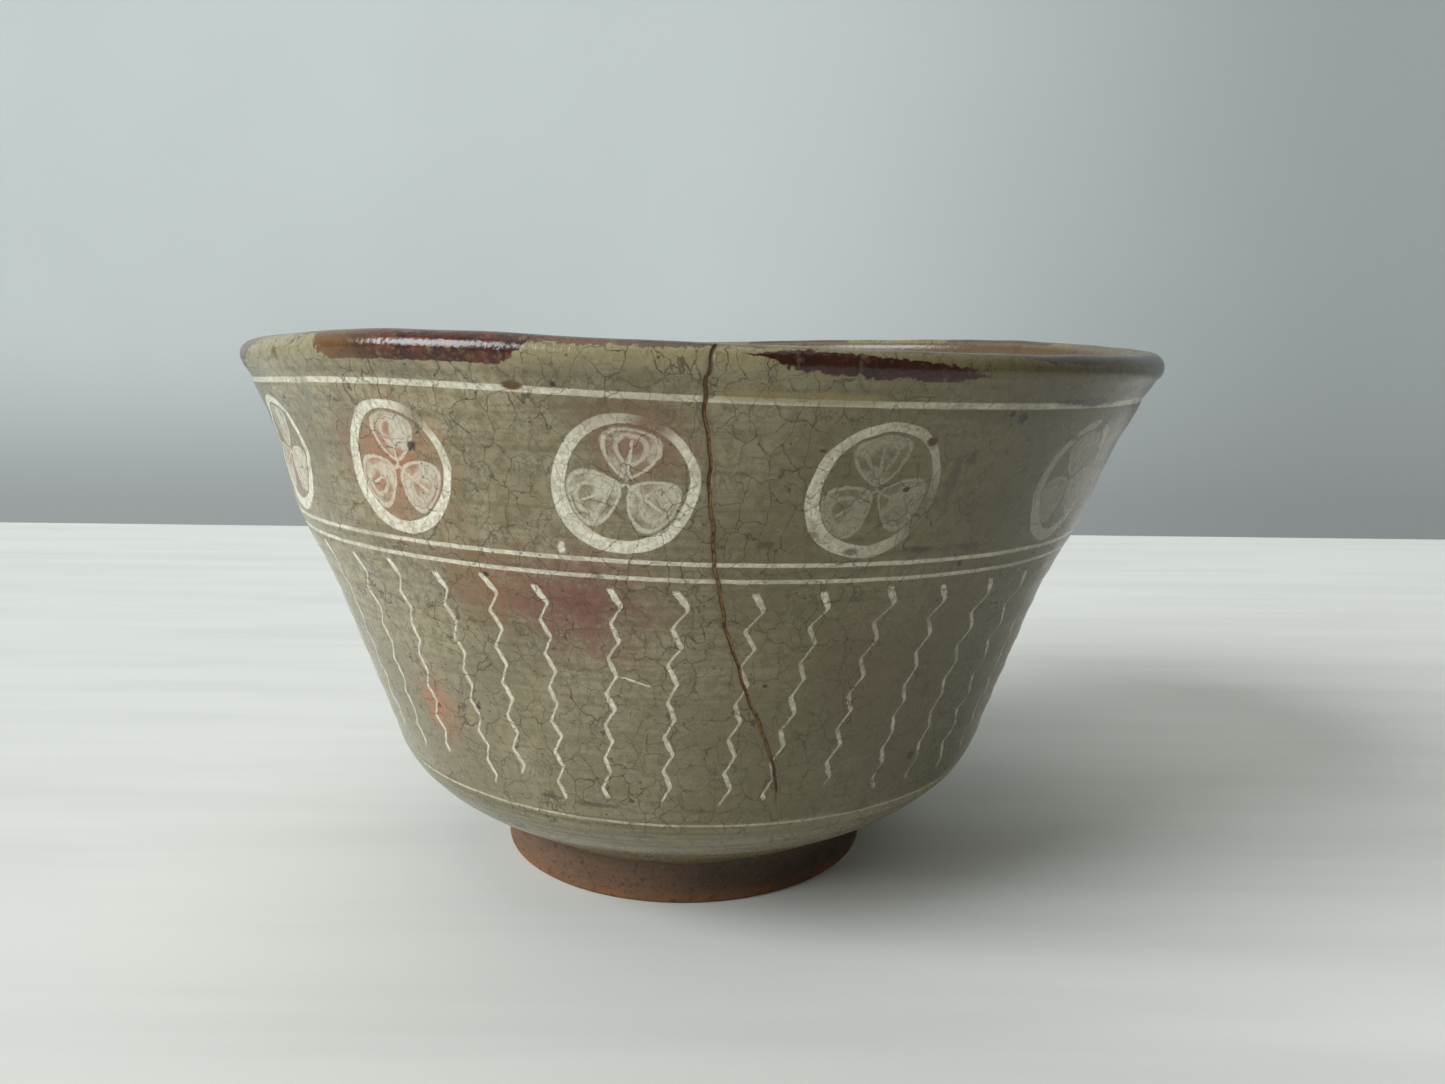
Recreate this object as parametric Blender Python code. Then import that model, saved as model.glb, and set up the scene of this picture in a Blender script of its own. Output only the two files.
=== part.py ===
"""Tea bowl in inlaid stoneware with a long crack down the front.

One thrown piece: a turned foot ring, a low hip, a wall that opens in a nearly straight
line and an uneven, rounded lip. The inlaid lines of the wall (four rings, a row of
roundels and a field of wavy lines) lie slightly below the glaze. The crack is a real
groove: it starts inside, crosses the lip and runs down the wall to the lowest ring.

Metres, +Z up, -Y is the front. The origin is under the middle of the lip, on the table.
"""

import math

import bmesh
import bpy
from mathutils import Vector

# Heights above the table.
FOOT_HEIGHT = 0.0064
RECESS_DEPTH = 0.0046
FLOOR_HEIGHT = 0.0112
MEAN_HEIGHT = 0.0761

# Height of the lip around the clock, seen from above with the front at six.
LIP_AT_3 = 0.0761
LIP_AT_2 = 0.0779
LIP_AT_1 = 0.0784
LIP_AT_12 = 0.0778
LIP_AT_11 = 0.0770
LIP_AT_10 = 0.0760
LIP_AT_9 = 0.0752
LIP_AT_8 = 0.0753
LIP_AT_7 = 0.0760
LIP_AT_6 = 0.0748
LIP_AT_5 = 0.0742
LIP_AT_4 = 0.0746

# Outer radii of the foot, of the hip where the wall begins, and of the lip.
FOOT_RADIUS = 0.0279
HIP_RADIUS = 0.0435
LIP_RADIUS = 0.0642
FOOT_CHAMFER = 0.0005
GLAZE_EDGE_STEP = 0.0005

# Inner side.
RECESS_RADIUS = 0.0222
RECESS_SLOPE = 0.0012
FLOOR_RADIUS = 0.0215
FLOOR_RISE = 0.0006
LIP_THICKNESS = 0.0038
NECK_THICKNESS = 0.0042
WALL_THICKNESS = 0.0050
HIP_THICKNESS = 0.0072

# The axis moves to the right as the wall rises, and the inlaid rings dip to the right.
FOOT_SHIFT = 0.0027
RING_DIP = 0.0011

# Inlaid lines: widths and depth.
RING_WIDTH = 0.0011
LOWEST_RING_WIDTH = 0.0015
INLAY_DEPTH = 0.00025
CUTTER_LIFT = 0.0005

# Roundels between the double ring and the upper ring.
ROUNDEL_COUNT = 14
ROUNDEL_START_DEG = -95.4
ROUNDEL_RADIUS = 0.00685
ROUNDEL_BAND = 0.0014
PETAL_LENGTH = 0.0043
PETAL_WIDTH = 0.0027
PETAL_GAP = 0.0008

# Wavy lines between the lowest ring and the double ring.
WAVE_COUNT = 45
WAVE_HALF_TURNS = 12
WAVE_START_DEG = -89.2
WAVE_LEAN_DEG = 2.8
WAVE_SWING = 0.0009
WAVE_WIDTH = 0.0009

# The crack.
CRACK_WIDTH = 0.0007
CRACK_DEPTH = 0.0007
CRACK_LIP_DEG = -88.3
CRACK_INSIDE_DEG = -86.9

# Places on the wall as fractions of its height: 0 is the table and 1 the lip.
HIP_FRACTION = 0.2365
WALL_FRACTION = 0.578
NECK_FRACTION = 0.815
KNEE_FRACTION = 0.33
LOWEST_RING_FRACTION = 0.245
LOWER_DOUBLE_RING_FRACTION = 0.671
UPPER_DOUBLE_RING_FRACTION = 0.6965
UPPER_RING_FRACTION = 0.926
ROUNDEL_FRACTION = 0.806
WAVE_BOTTOM_FRACTION = 0.272
WAVE_TOP_FRACTION = 0.650
DIP_START_FRACTION = 0.0
DIP_FULL_FRACTION = 0.25
INNER_FRACTIONS = (0.90, 0.80, 0.68, 0.56, 0.44)

# Profile of the wall: (fraction of the height, fraction of the way out).
HIP_PROFILE = ((0.118, 0.300), (0.171, 0.705))
WALL_PROFILE = (
    (0.3285, 0.120),
    (0.447, 0.269),
    (0.578, 0.435),
    (0.710, 0.648),
    (0.815, 0.755),
    (0.920, 0.894),
)

# Lean of the axis: (fraction of the height, fraction of the foot's shift made up).
LEAN_PROFILE = (
    (0.0, 0.0),
    (0.20, 0.29),
    (0.50, 0.30),
    (0.72, 0.44),
    (0.867, 0.79),
    (1.0, 1.0),
)

# Steps of the turn from the inner wall into the floor, and of the floor.
KNEE_FRACTIONS = (0.0, 0.30, 0.60, 0.85)
FLOOR_RING_FRACTION = 0.7

# Course of the crack down the outside: (degrees, fraction of the height).
CRACK_COURSE = (
    (-74.3, 0.252),
    (-75.2, 0.300),
    (-77.0, 0.378),
    (-79.6, 0.442),
    (-82.2, 0.520),
    (-84.6, 0.600),
    (-86.2, 0.690),
    (-87.2, 0.780),
    (-88.0, 0.860),
    (-88.8, 0.925),
    (-88.9, 0.965),
)
CRACK_LIP_FRACTIONS = (0.1, 0.3, 0.5, 0.7, 0.9)
CRACK_INSIDE_FRACTIONS = (0.93, 0.85, 0.77, 0.66)

# Fineness of the surface.
COLUMNS = 60
INNER_COLUMNS = 40
LIP_STEPS = 4
ROUNDEL_SIDES = 14
PETALS = 3


def smooth(low, high, value):
    """Ease from 0 at low to 1 at high."""
    t = min(max((value - low) / (high - low), 0.0), 1.0)
    return t * t * (3.0 - 2.0 * t)


def curve_through(stations, value):
    """Smooth curve through (place, size) stations, without overshoot."""
    if value <= stations[0][0]:
        return stations[0][1]
    if value >= stations[-1][0]:
        return stations[-1][1]
    slopes = [
        (b[1] - a[1]) / (b[0] - a[0]) for a, b in zip(stations, stations[1:])
    ]
    tangents = [slopes[0]]
    for before, after in zip(slopes, slopes[1:]):
        if before * after <= 0.0:
            tangents.append(0.0)
        else:
            tangents.append(2.0 * before * after / (before + after))
    tangents.append(slopes[-1])
    for index, (a, b) in enumerate(zip(stations, stations[1:])):
        if value <= b[0]:
            span = b[0] - a[0]
            t = (value - a[0]) / span
            return (
                (2 * t**3 - 3 * t**2 + 1) * a[1]
                + (t**3 - 2 * t**2 + t) * span * tangents[index]
                + (3 * t**2 - 2 * t**3) * b[1]
                + (t**3 - t**2) * span * tangents[index + 1]
            )
    return stations[-1][1]


FOOT_FRACTION = FOOT_HEIGHT / MEAN_HEIGHT
GLAZE_RADIUS = FOOT_RADIUS + GLAZE_EDGE_STEP

OUTER = (
    ((FOOT_FRACTION, GLAZE_RADIUS),)
    + tuple((f, GLAZE_RADIUS + (HIP_RADIUS - GLAZE_RADIUS) * way) for f, way in HIP_PROFILE)
    + ((HIP_FRACTION, HIP_RADIUS),)
    + tuple((f, HIP_RADIUS + (LIP_RADIUS - HIP_RADIUS) * way) for f, way in WALL_PROFILE)
    + ((1.0, LIP_RADIUS),)
)

THICKNESS = (
    (HIP_FRACTION, HIP_THICKNESS),
    (WALL_FRACTION, WALL_THICKNESS),
    (NECK_FRACTION, NECK_THICKNESS),
    (1.0, LIP_THICKNESS),
)

LIP_HEIGHTS = (
    LIP_AT_3,
    LIP_AT_2,
    LIP_AT_1,
    LIP_AT_12,
    LIP_AT_11,
    LIP_AT_10,
    LIP_AT_9,
    LIP_AT_8,
    LIP_AT_7,
    LIP_AT_6,
    LIP_AT_5,
    LIP_AT_4,
)


def lip_height(angle):
    """Height of the lip, eased between the given places."""
    count = len(LIP_HEIGHTS)
    place = (angle / math.tau * count) % count
    first = int(place) % count
    t = place - int(place)
    a, b, c, d = (LIP_HEIGHTS[(first + k) % count] for k in (-1, 0, 1, 2))
    return 0.5 * (
        2 * b
        + (c - a) * t
        + (2 * a - 5 * b + 4 * c - d) * t**2
        + (3 * b - a - 3 * c + d) * t**3
    )


def axis_x(level):
    """Sideways place of the axis at a level."""
    return -FOOT_SHIFT * (1.0 - curve_through(LEAN_PROFILE, level))


def ring_dip(angle, level):
    """How far the inlay of a level lies below it at an angle."""
    grown = smooth(DIP_START_FRACTION, DIP_FULL_FRACTION, level)
    return RING_DIP * math.cos(angle) * grown * (1.0 - level**8)


def level_height(angle, level):
    """Height of the wall at an angle and a level between 0 and 1."""
    lift = (lip_height(angle) - MEAN_HEIGHT) * level**4
    return MEAN_HEIGHT * level + lift - ring_dip(angle, level)


def around(angle, radius, height, level):
    """Point at an angle and radius from the axis."""
    return Vector((
        axis_x(level) + radius * math.cos(angle),
        radius * math.sin(angle),
        height,
    ))


def outer_radius(angle, level):
    """Radius of the outer wall, which doesn't tilt with the inlay."""
    return curve_through(OUTER, level - ring_dip(angle, level) / MEAN_HEIGHT)


def outer_point(angle, level):
    """Point of the outer wall."""
    return around(angle, outer_radius(angle, level), level_height(angle, level), level)


def inner_point(angle, level):
    """Point of the inner wall."""
    radius = outer_radius(angle, level) - curve_through(THICKNESS, level)
    return around(angle, radius, level_height(angle, level), level)


def knee_point(angle, share):
    """Point where the inner wall turns into the floor: share 0 is the wall's end."""
    top = inner_point(angle, KNEE_FRACTION)
    wall = outer_radius(angle, KNEE_FRACTION) - curve_through(THICKNESS, KNEE_FRACTION)
    swing = share * math.pi / 2.0
    radius = FLOOR_RADIUS + (wall - FLOOR_RADIUS) * math.cos(swing)
    drop = (top.z - FLOOR_HEIGHT - FLOOR_RISE) * math.sin(swing)
    return around(angle, radius, top.z - drop, KNEE_FRACTION * (1.0 - share))


def lip_point(angle, turn):
    """Point of the rounded lip: turn 0 is its outer side, 1 its inner side."""
    half = LIP_THICKNESS / 2.0
    swing = math.pi * turn
    radius = LIP_RADIUS - half + half * math.cos(swing)
    height = lip_height(angle) - half + half * math.sin(swing)
    return around(angle, radius, height, 1.0)


def placed(surface, angle, place):
    """Point of a surface with its outward normal."""
    small = 0.004
    point = surface(angle, place)
    along = surface(angle, place + small) - surface(angle, place - small)
    across = surface(angle + small, place) - surface(angle - small, place)
    return point, across.cross(along).normalized()


def add_ring(mesh, points):
    """Add a closed row of vertices."""
    return [mesh.verts.new(point) for point in points]


def bearing(vertex):
    """Angle of a vertex around the origin."""
    return math.atan2(vertex.co.y, vertex.co.x)


def zip_rows(mesh, lower, upper):
    """Join two closed rows of unequal count with triangles, in step by angle."""
    start = bearing(lower[0])
    apart = [(bearing(v) - start + math.pi) % math.tau - math.pi for v in upper]
    shift = min(range(len(upper)), key=lambda k: abs(apart[k]))
    upper = upper[shift:] + upper[:shift]
    low = [(bearing(v) - start) % math.tau for v in lower[1:]]
    low = [0.0] + low + [math.tau]
    high = [(bearing(v) - start) % math.tau for v in upper[1:]]
    high = [apart[shift]] + high + [apart[shift] + math.tau]
    i = 0
    j = 0
    while i < len(lower) or j < len(upper):
        a = lower[i % len(lower)]
        b = upper[j % len(upper)]
        if j == len(upper) or (i < len(lower) and low[i + 1] <= high[j + 1]):
            i += 1
            mesh.faces.new((a, lower[i % len(lower)], b))
        else:
            j += 1
            mesh.faces.new((a, upper[j % len(upper)], b))


def bridge(mesh, lower, upper):
    """Join two closed rows."""
    count = len(lower)
    if count != len(upper):
        zip_rows(mesh, lower, upper)
        return
    for k in range(count):
        after = (k + 1) % count
        mesh.faces.new((lower[k], lower[after], upper[after], upper[k]))


def angles(count):
    """Evenly spaced angles."""
    return [math.tau * k / count for k in range(count)]


def groove_levels(middle, width):
    """Three levels of a ring groove, with the depth at each."""
    half = width / 2.0 / MEAN_HEIGHT
    return [(middle - half, 0.0), (middle, INLAY_DEPTH), (middle + half, 0.0)]


def low_rows():
    """Levels of the outer wall below the wavy lines, with the depth at each."""
    rows = [(FOOT_FRACTION, 0.0)]
    rows += [(level, 0.0) for level, way in HIP_PROFILE]
    rows += [((HIP_PROFILE[-1][0] + HIP_FRACTION) / 2.0, 0.0)]
    rows += groove_levels(LOWEST_RING_FRACTION, LOWEST_RING_WIDTH)
    return rows


def high_rows():
    """Levels of the outer wall above the wavy lines, with the depth at each."""
    rows = groove_levels(LOWER_DOUBLE_RING_FRACTION, RING_WIDTH)
    rows += groove_levels(UPPER_DOUBLE_RING_FRACTION, RING_WIDTH)
    rows += [(NECK_FRACTION, 0.0)]
    rows += groove_levels(UPPER_RING_FRACTION, RING_WIDTH)
    return rows


def wall_row(mesh, around_angles, level, depth):
    """Row of the outer wall at one level, sunk by a depth."""
    points = []
    for angle in around_angles:
        point, normal = placed(outer_point, angle, level)
        points.append(point - normal * depth)
    return add_ring(mesh, points)


def wave_row(step):
    """Row of points through all the wavy lines: edge, bottom and edge of each line."""
    share = step / WAVE_HALF_TURNS
    level = WAVE_BOTTOM_FRACTION + (WAVE_TOP_FRACTION - WAVE_BOTTOM_FRACTION) * share
    lean = math.radians(WAVE_LEAN_DEG) * (1.0 - share)
    swing = WAVE_SWING / 2.0 if step % 2 else -WAVE_SWING / 2.0
    depth = 0.0 if step in (0, WAVE_HALF_TURNS) else INLAY_DEPTH
    radius = curve_through(OUTER, level)
    points = []
    for index in range(WAVE_COUNT):
        middle = math.radians(WAVE_START_DEG + index * 360.0 / WAVE_COUNT) - lean
        for side, sunk in ((-0.5, 0.0), (0.0, depth), (0.5, 0.0)):
            angle = middle + (swing + side * WAVE_WIDTH) / radius
            point, normal = placed(outer_point, angle, level)
            points.append(point - normal * sunk)
    return points


def body_mesh():
    """Closed surface of the thrown bowl."""
    mesh = bmesh.new()
    wide = angles(COLUMNS)
    narrow = angles(INNER_COLUMNS)

    recess_centre = mesh.verts.new((-FOOT_SHIFT, 0.0, RECESS_DEPTH + RECESS_SLOPE))
    recess_corner = RECESS_RADIUS - RECESS_SLOPE
    recess_top = add_ring(mesh, [around(a, recess_corner, RECESS_DEPTH, 0.0) for a in narrow])
    recess_edge = add_ring(mesh, [around(a, RECESS_RADIUS, FOOT_CHAMFER, 0.0) for a in narrow])
    rest_in = add_ring(
        mesh, [around(a, RECESS_RADIUS + FOOT_CHAMFER, 0.0, 0.0) for a in narrow]
    )
    rest_out = add_ring(
        mesh, [around(a, FOOT_RADIUS - FOOT_CHAMFER, 0.0, 0.0) for a in wide]
    )
    foot_low = add_ring(mesh, [around(a, FOOT_RADIUS, FOOT_CHAMFER, 0.0) for a in wide])
    foot_top = add_ring(
        mesh, [around(a, FOOT_RADIUS, FOOT_HEIGHT - GLAZE_EDGE_STEP, 0.0) for a in wide]
    )
    rows = [recess_top, recess_edge, rest_in, rest_out, foot_low, foot_top]

    rows += [wall_row(mesh, wide, level, depth) for level, depth in low_rows()]
    for step in range(WAVE_HALF_TURNS + 1):
        rows.append(add_ring(mesh, wave_row(step)))
    rows += [wall_row(mesh, wide, level, depth) for level, depth in high_rows()]
    for step in range(LIP_STEPS + 1):
        rows.append(add_ring(mesh, [lip_point(a, step / LIP_STEPS) for a in wide]))

    for level in INNER_FRACTIONS:
        rows.append(add_ring(mesh, [inner_point(a, level) for a in narrow]))
    for share in KNEE_FRACTIONS:
        rows.append(add_ring(mesh, [knee_point(a, share) for a in narrow]))
    floor_radius = FLOOR_RADIUS * FLOOR_RING_FRACTION
    floor_height = FLOOR_HEIGHT + FLOOR_RISE * FLOOR_RING_FRACTION**2
    rows.append(add_ring(mesh, [around(a, floor_radius, floor_height, 0.0) for a in narrow]))
    floor_centre = mesh.verts.new((-FOOT_SHIFT, 0.0, FLOOR_HEIGHT))

    for lower, upper in zip(rows, rows[1:]):
        bridge(mesh, lower, upper)
    first = rows[0]
    last = rows[-1]
    for k in range(INNER_COLUMNS):
        after = (k + 1) % INNER_COLUMNS
        mesh.faces.new((recess_centre, first[after], first[k]))
        mesh.faces.new((floor_centre, last[k], last[after]))
    return mesh


def add_groove(mesh, stations, width, depth, closed=False):
    """Wedge-shaped bar that follows (point, normal) stations laid on a surface."""
    count = len(stations)
    sections = []
    for k, (point, normal) in enumerate(stations):
        if closed:
            before = stations[k - 1][0]
            after = stations[(k + 1) % count][0]
        else:
            before = stations[max(k - 1, 0)][0]
            after = stations[min(k + 1, count - 1)][0]
        side = (after - before).cross(normal).normalized()
        reach = width / 2.0 * (1.0 + CUTTER_LIFT / depth)
        sections.append((
            mesh.verts.new(point + normal * CUTTER_LIFT - side * reach),
            mesh.verts.new(point + normal * CUTTER_LIFT + side * reach),
            mesh.verts.new(point - normal * depth),
        ))
    pairs = list(zip(sections, sections[1:]))
    if closed:
        pairs.append((sections[-1], sections[0]))
    else:
        mesh.faces.new(sections[0])
        mesh.faces.new(tuple(reversed(sections[-1])))
    for a, b in pairs:
        for k in range(3):
            after = (k + 1) % 3
            mesh.faces.new((a[k], b[k], b[after], a[after]))


def add_pocket(mesh, stations, depth):
    """Flat-bottomed plug with an outline of (point, normal) stations."""
    top = [mesh.verts.new(point + normal * CUTTER_LIFT) for point, normal in stations]
    bottom = [mesh.verts.new(point - normal * depth) for point, normal in stations]
    count = len(stations)
    mesh.faces.new(top)
    mesh.faces.new(tuple(reversed(bottom)))
    for k in range(count):
        after = (k + 1) % count
        mesh.faces.new((top[k], bottom[k], bottom[after], top[after]))


def beside(angle, level, right, up):
    """Place on the outer wall, moved along the surface from an angle and a level."""
    radius = curve_through(OUTER, level)
    small = 0.01
    rise = (outer_point(angle, level + small) - outer_point(angle, level - small)).length
    return placed(outer_point, angle + right / radius, level + up * 2.0 * small / rise)


def petal_outline(angle, level, turn):
    """Outline of one petal: narrow at the middle of the roundel and round outside."""
    outline = (
        (PETAL_GAP, 0.0),
        (PETAL_GAP + PETAL_LENGTH * 0.45, PETAL_WIDTH / 2.0),
        (PETAL_GAP + PETAL_LENGTH * 0.80, PETAL_WIDTH * 0.45),
        (PETAL_GAP + PETAL_LENGTH, 0.0),
        (PETAL_GAP + PETAL_LENGTH * 0.80, -PETAL_WIDTH * 0.45),
        (PETAL_GAP + PETAL_LENGTH * 0.45, -PETAL_WIDTH / 2.0),
    )
    return [
        beside(
            angle,
            level,
            out * math.cos(turn) - across * math.sin(turn),
            out * math.sin(turn) + across * math.cos(turn),
        )
        for out, across in outline
    ]


def inlay_mesh():
    """Everything that the inlaid roundels take out of the wall."""
    mesh = bmesh.new()
    for index in range(ROUNDEL_COUNT):
        angle = math.radians(ROUNDEL_START_DEG + index * 360.0 / ROUNDEL_COUNT)
        ring = [
            beside(
                angle,
                ROUNDEL_FRACTION,
                ROUNDEL_RADIUS * math.cos(turn),
                ROUNDEL_RADIUS * math.sin(turn),
            )
            for turn in angles(ROUNDEL_SIDES)
        ]
        add_groove(mesh, ring, ROUNDEL_BAND, INLAY_DEPTH, closed=True)
        for petal in range(PETALS):
            turn = math.tau * (petal / PETALS + 0.25)
            add_pocket(mesh, petal_outline(angle, ROUNDEL_FRACTION, turn), INLAY_DEPTH)
    return mesh


def crack_mesh():
    """Everything that the crack takes out of the wall, the lip and the inside."""
    stations = []
    for degrees, level in CRACK_COURSE:
        stations.append(placed(outer_point, math.radians(degrees), level))
    lip_angle = math.radians(CRACK_LIP_DEG)
    for turn in CRACK_LIP_FRACTIONS:
        stations.append(placed(lip_point, lip_angle, turn))
    inside = math.radians(CRACK_INSIDE_DEG)
    for step, level in enumerate(CRACK_INSIDE_FRACTIONS):
        share = step / (len(CRACK_INSIDE_FRACTIONS) - 1)
        angle = lip_angle + (inside - lip_angle) * share
        point, normal = placed(inner_point, angle, level)
        stations.append((point, -normal))
    mesh = bmesh.new()
    add_groove(mesh, stations, CRACK_WIDTH, CRACK_DEPTH)
    return mesh


def add_object(name, mesh, material=None):
    """Put a mesh into the scene with its faces turned outward."""
    bmesh.ops.triangulate(mesh, faces=mesh.faces[:])
    bmesh.ops.recalc_face_normals(mesh, faces=mesh.faces[:])
    data = bpy.data.meshes.new(name)
    mesh.to_mesh(data)
    mesh.free()
    made = bpy.data.objects.new(name, data)
    bpy.context.scene.collection.objects.link(made)
    if material is not None:
        data.materials.append(material)
    return made


def cut(target, cutter, name):
    """Take one solid out of another."""
    cutter.hide_render = True
    cutter.display_type = "WIRE"
    modifier = target.modifiers.new(name, "BOOLEAN")
    modifier.operation = "DIFFERENCE"
    modifier.solver = "EXACT"
    modifier.object = cutter


def glazed_stoneware():
    """Grey-olive glaze over stoneware."""
    material = bpy.data.materials.new("glazed_stoneware")
    material.use_nodes = True
    shader = material.node_tree.nodes["Principled BSDF"]
    shader.inputs["Base Color"].default_value = (0.19, 0.17, 0.115, 1.0)
    shader.inputs["Roughness"].default_value = 0.35
    return material


def main():
    for leftover in list(bpy.data.objects):
        bpy.data.objects.remove(leftover, do_unlink=True)
    bowl = add_object("bowl", body_mesh(), glazed_stoneware())
    cut(bowl, add_object("inlay_cutter", inlay_mesh()), "inlay")
    cut(bowl, add_object("crack_cutter", crack_mesh()), "crack")


main()
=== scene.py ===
"""Cracked tea bowl: the thrown shape, its inlay, glaze, crack and wear, on a pale table."""

import math

import bpy
import numpy as np
from mathutils import Matrix, Vector


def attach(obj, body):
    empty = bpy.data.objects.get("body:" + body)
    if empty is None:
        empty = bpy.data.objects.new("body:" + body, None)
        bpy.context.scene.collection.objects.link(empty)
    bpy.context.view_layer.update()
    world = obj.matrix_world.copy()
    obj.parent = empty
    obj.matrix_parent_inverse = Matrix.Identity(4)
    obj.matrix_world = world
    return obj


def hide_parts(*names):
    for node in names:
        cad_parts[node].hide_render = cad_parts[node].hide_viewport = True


bl_info = {
    "name": "Cracked Tea Bowl",
    "version": (1, 0, 0),
    "blender": (4, 5, 0),
    "location": "3D View > Sidebar > Tea Bowl",
    "description": "Throws, inlays and glazes an old tea bowl with a crack down its front",
    "category": "Object",
}

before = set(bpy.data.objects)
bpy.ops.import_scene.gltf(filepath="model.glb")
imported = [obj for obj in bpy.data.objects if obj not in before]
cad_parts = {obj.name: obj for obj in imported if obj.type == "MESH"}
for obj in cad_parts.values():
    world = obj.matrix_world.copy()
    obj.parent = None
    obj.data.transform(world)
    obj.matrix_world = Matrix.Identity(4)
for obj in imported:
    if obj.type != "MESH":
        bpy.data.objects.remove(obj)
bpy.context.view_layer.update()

MM = 0.001

# Rise counts up along the section: the level outside, and this sum less the level inside.
INSIDE_SUM = 2.015
# Height in mm of one rise on the wall.
RISE_MM = 76.1
# The maps of the lines and the roundels hold 100 times the number of the mark, plus the offset in mm.
MAP_STEP = 100.0
# How much lower the middle of the inner floor is than its edge.
FLOOR_SAG = 0.0006
# How much lower the edge of the turned recess is than its middle, and how far in its corner starts.
RECESS_DOME = 0.0012
RECESS_CORNER = 0.0012

# The photo's camera, fitted to the inlaid rings and the outline.
CAMERA_PLACE = (0.00285, -0.1604, 0.07236)
CAMERA_DOWN_DEG = 9.48
CAMERA_ROLL = 0.012
CAMERA_LENS = 26.0

# Height of the lip around the clock, from three o'clock counter-clockwise, in metres.
LIP_HEIGHTS = (
    0.0761, 0.0779, 0.0784, 0.0778, 0.077, 0.076,
    0.0752, 0.0753, 0.076, 0.0748, 0.0742, 0.0746,
)

# Profiles: (fraction of the height, fraction of the way out).
HIP_LEVEL = 0.2365
KNEE_LEVEL = 0.33
HIP_PROFILE = ((0.118, 0.3), (0.171, 0.705))
WALL_PROFILE = (
    (0.3285, 0.12), (0.447, 0.269), (0.578, 0.435),
    (0.71, 0.648), (0.815, 0.755), (0.92, 0.894),
)
LEAN_PROFILE = (
    (0.0, 0.0), (0.2, 0.29), (0.5, 0.3), (0.72, 0.44), (0.867, 0.79), (1.0, 1.0),
)

# Inlaid rings: (fraction of the height, half width in mm, strength).
RINGS = ((0.245, 0.17, 0.62), (0.671, 0.24, 0.86), (0.6965, 0.25, 0.9), (0.926, 0.34, 0.8))

# Course of the crack: (degrees, fraction of the height) outside, then lip and inside.
CRACK_COURSE = (
    (-74.3, 0.252), (-75.2, 0.3), (-77.0, 0.378), (-79.6, 0.442), (-82.2, 0.52),
    (-84.6, 0.6), (-86.2, 0.69), (-87.2, 0.78), (-88.0, 0.86), (-88.8, 0.925),
    (-88.9, 0.965),
)
CRACK_LIP_DEG = -87.9
CRACK_INSIDE_DEG = -86.9
CRACK_INSIDE_END = 0.66
SEAM_OPPOSITE_DEG = -85.0

# Wavy lines that were combed by hand: angle at the top and at the bottom of each.
COMBED_LINES = (
    (-142.8, -145.0), (-134.0, -138.0), (-126.4, -130.3), (-118.8, -120.6),
    (-111.9, -114.9), (-105.3, -108.0), (-96.6, -101.0), (-89.5, -92.2),
    (-81.0, -83.4), (-73.1, -77.2), (-64.8, -68.1), (-56.8, -58.2),
    (-48.3, -50.5), (-39.7, -42.5),
)
LINE_COUNT = 45
LINE_LEAN_DEG = -2.8
LINE_TOP = 0.65
LINE_BOTTOM = 0.272

# Roundels stamped in a row: the angles of those stamped unevenly.
STAMPED_ROUNDELS = (-146.0, -121.2, -95.6, -70.8, -40.6)
ROUNDEL_COUNT = 14
ROUNDEL_LEVEL = 0.806


def srgb(red, green, blue):
    """Linear colour of an 8-bit screen colour."""
    def linear(value):
        value /= 255.0
        return value / 12.92 if value <= 0.04045 else ((value + 0.055) / 1.055) ** 2.4
    return (linear(red), linear(green), linear(blue))


def length(label, text, default):
    """Length property in metres."""
    return bpy.props.FloatProperty(
        name=label, description=text, default=default, min=0.0, unit="LENGTH", precision=5
    )


def colour(label, text, default):
    """Colour property."""
    return bpy.props.FloatVectorProperty(
        name=label, description=text, default=default, size=3, min=0.0, max=1.0, subtype="COLOR"
    )


class TeaBowlSizes(bpy.types.PropertyGroup):
    """Sizes of the thrown bowl."""

    lip_radius: length("Lip radius", "Outer radius of the lip", 0.0642)
    hip_radius: length("Hip radius", "Outer radius where the wall begins", 0.0435)
    foot_radius: length("Foot radius", "Outer radius of the foot ring", 0.0279)
    recess_radius: length("Recess radius", "Inner radius of the foot ring", 0.0222)
    recess_depth: length("Recess depth", "Depth of the turned recess", 0.0046)
    foot_height: length("Foot height", "Height of the bare foot", 0.0064)
    mean_height: length("Height", "Mean height of the lip", 0.0761)
    floor_height: length("Floor height", "Height of the inner floor", 0.0112)
    floor_radius: length("Floor radius", "Radius of the flat inner floor", 0.0215)
    foot_shift: length("Foot shift", "How far the foot lies left of the lip", 0.0027)
    ring_dip: length("Ring dip", "How far the inlaid rings dip to the right", 0.0011)
    lip_thickness: length("Lip thickness", "Thickness of the rounded lip", 0.0038)
    neck_thickness: length("Neck thickness", "Thickness below the lip", 0.0042)
    wall_thickness: length("Wall thickness", "Thickness at half height", 0.005)
    hip_thickness: length("Hip thickness", "Thickness at the hip", 0.0072)
    crack_width: length("Crack width", "Width of the crack", 0.00046)
    crack_depth: length("Crack depth", "Depth of the crack", 0.00024)
    column_width: length("Column width", "Width of the mesh columns at the lip", 0.00105)
    row_height: length("Row height", "Height of the mesh rows on the wall", 0.00078)


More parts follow.
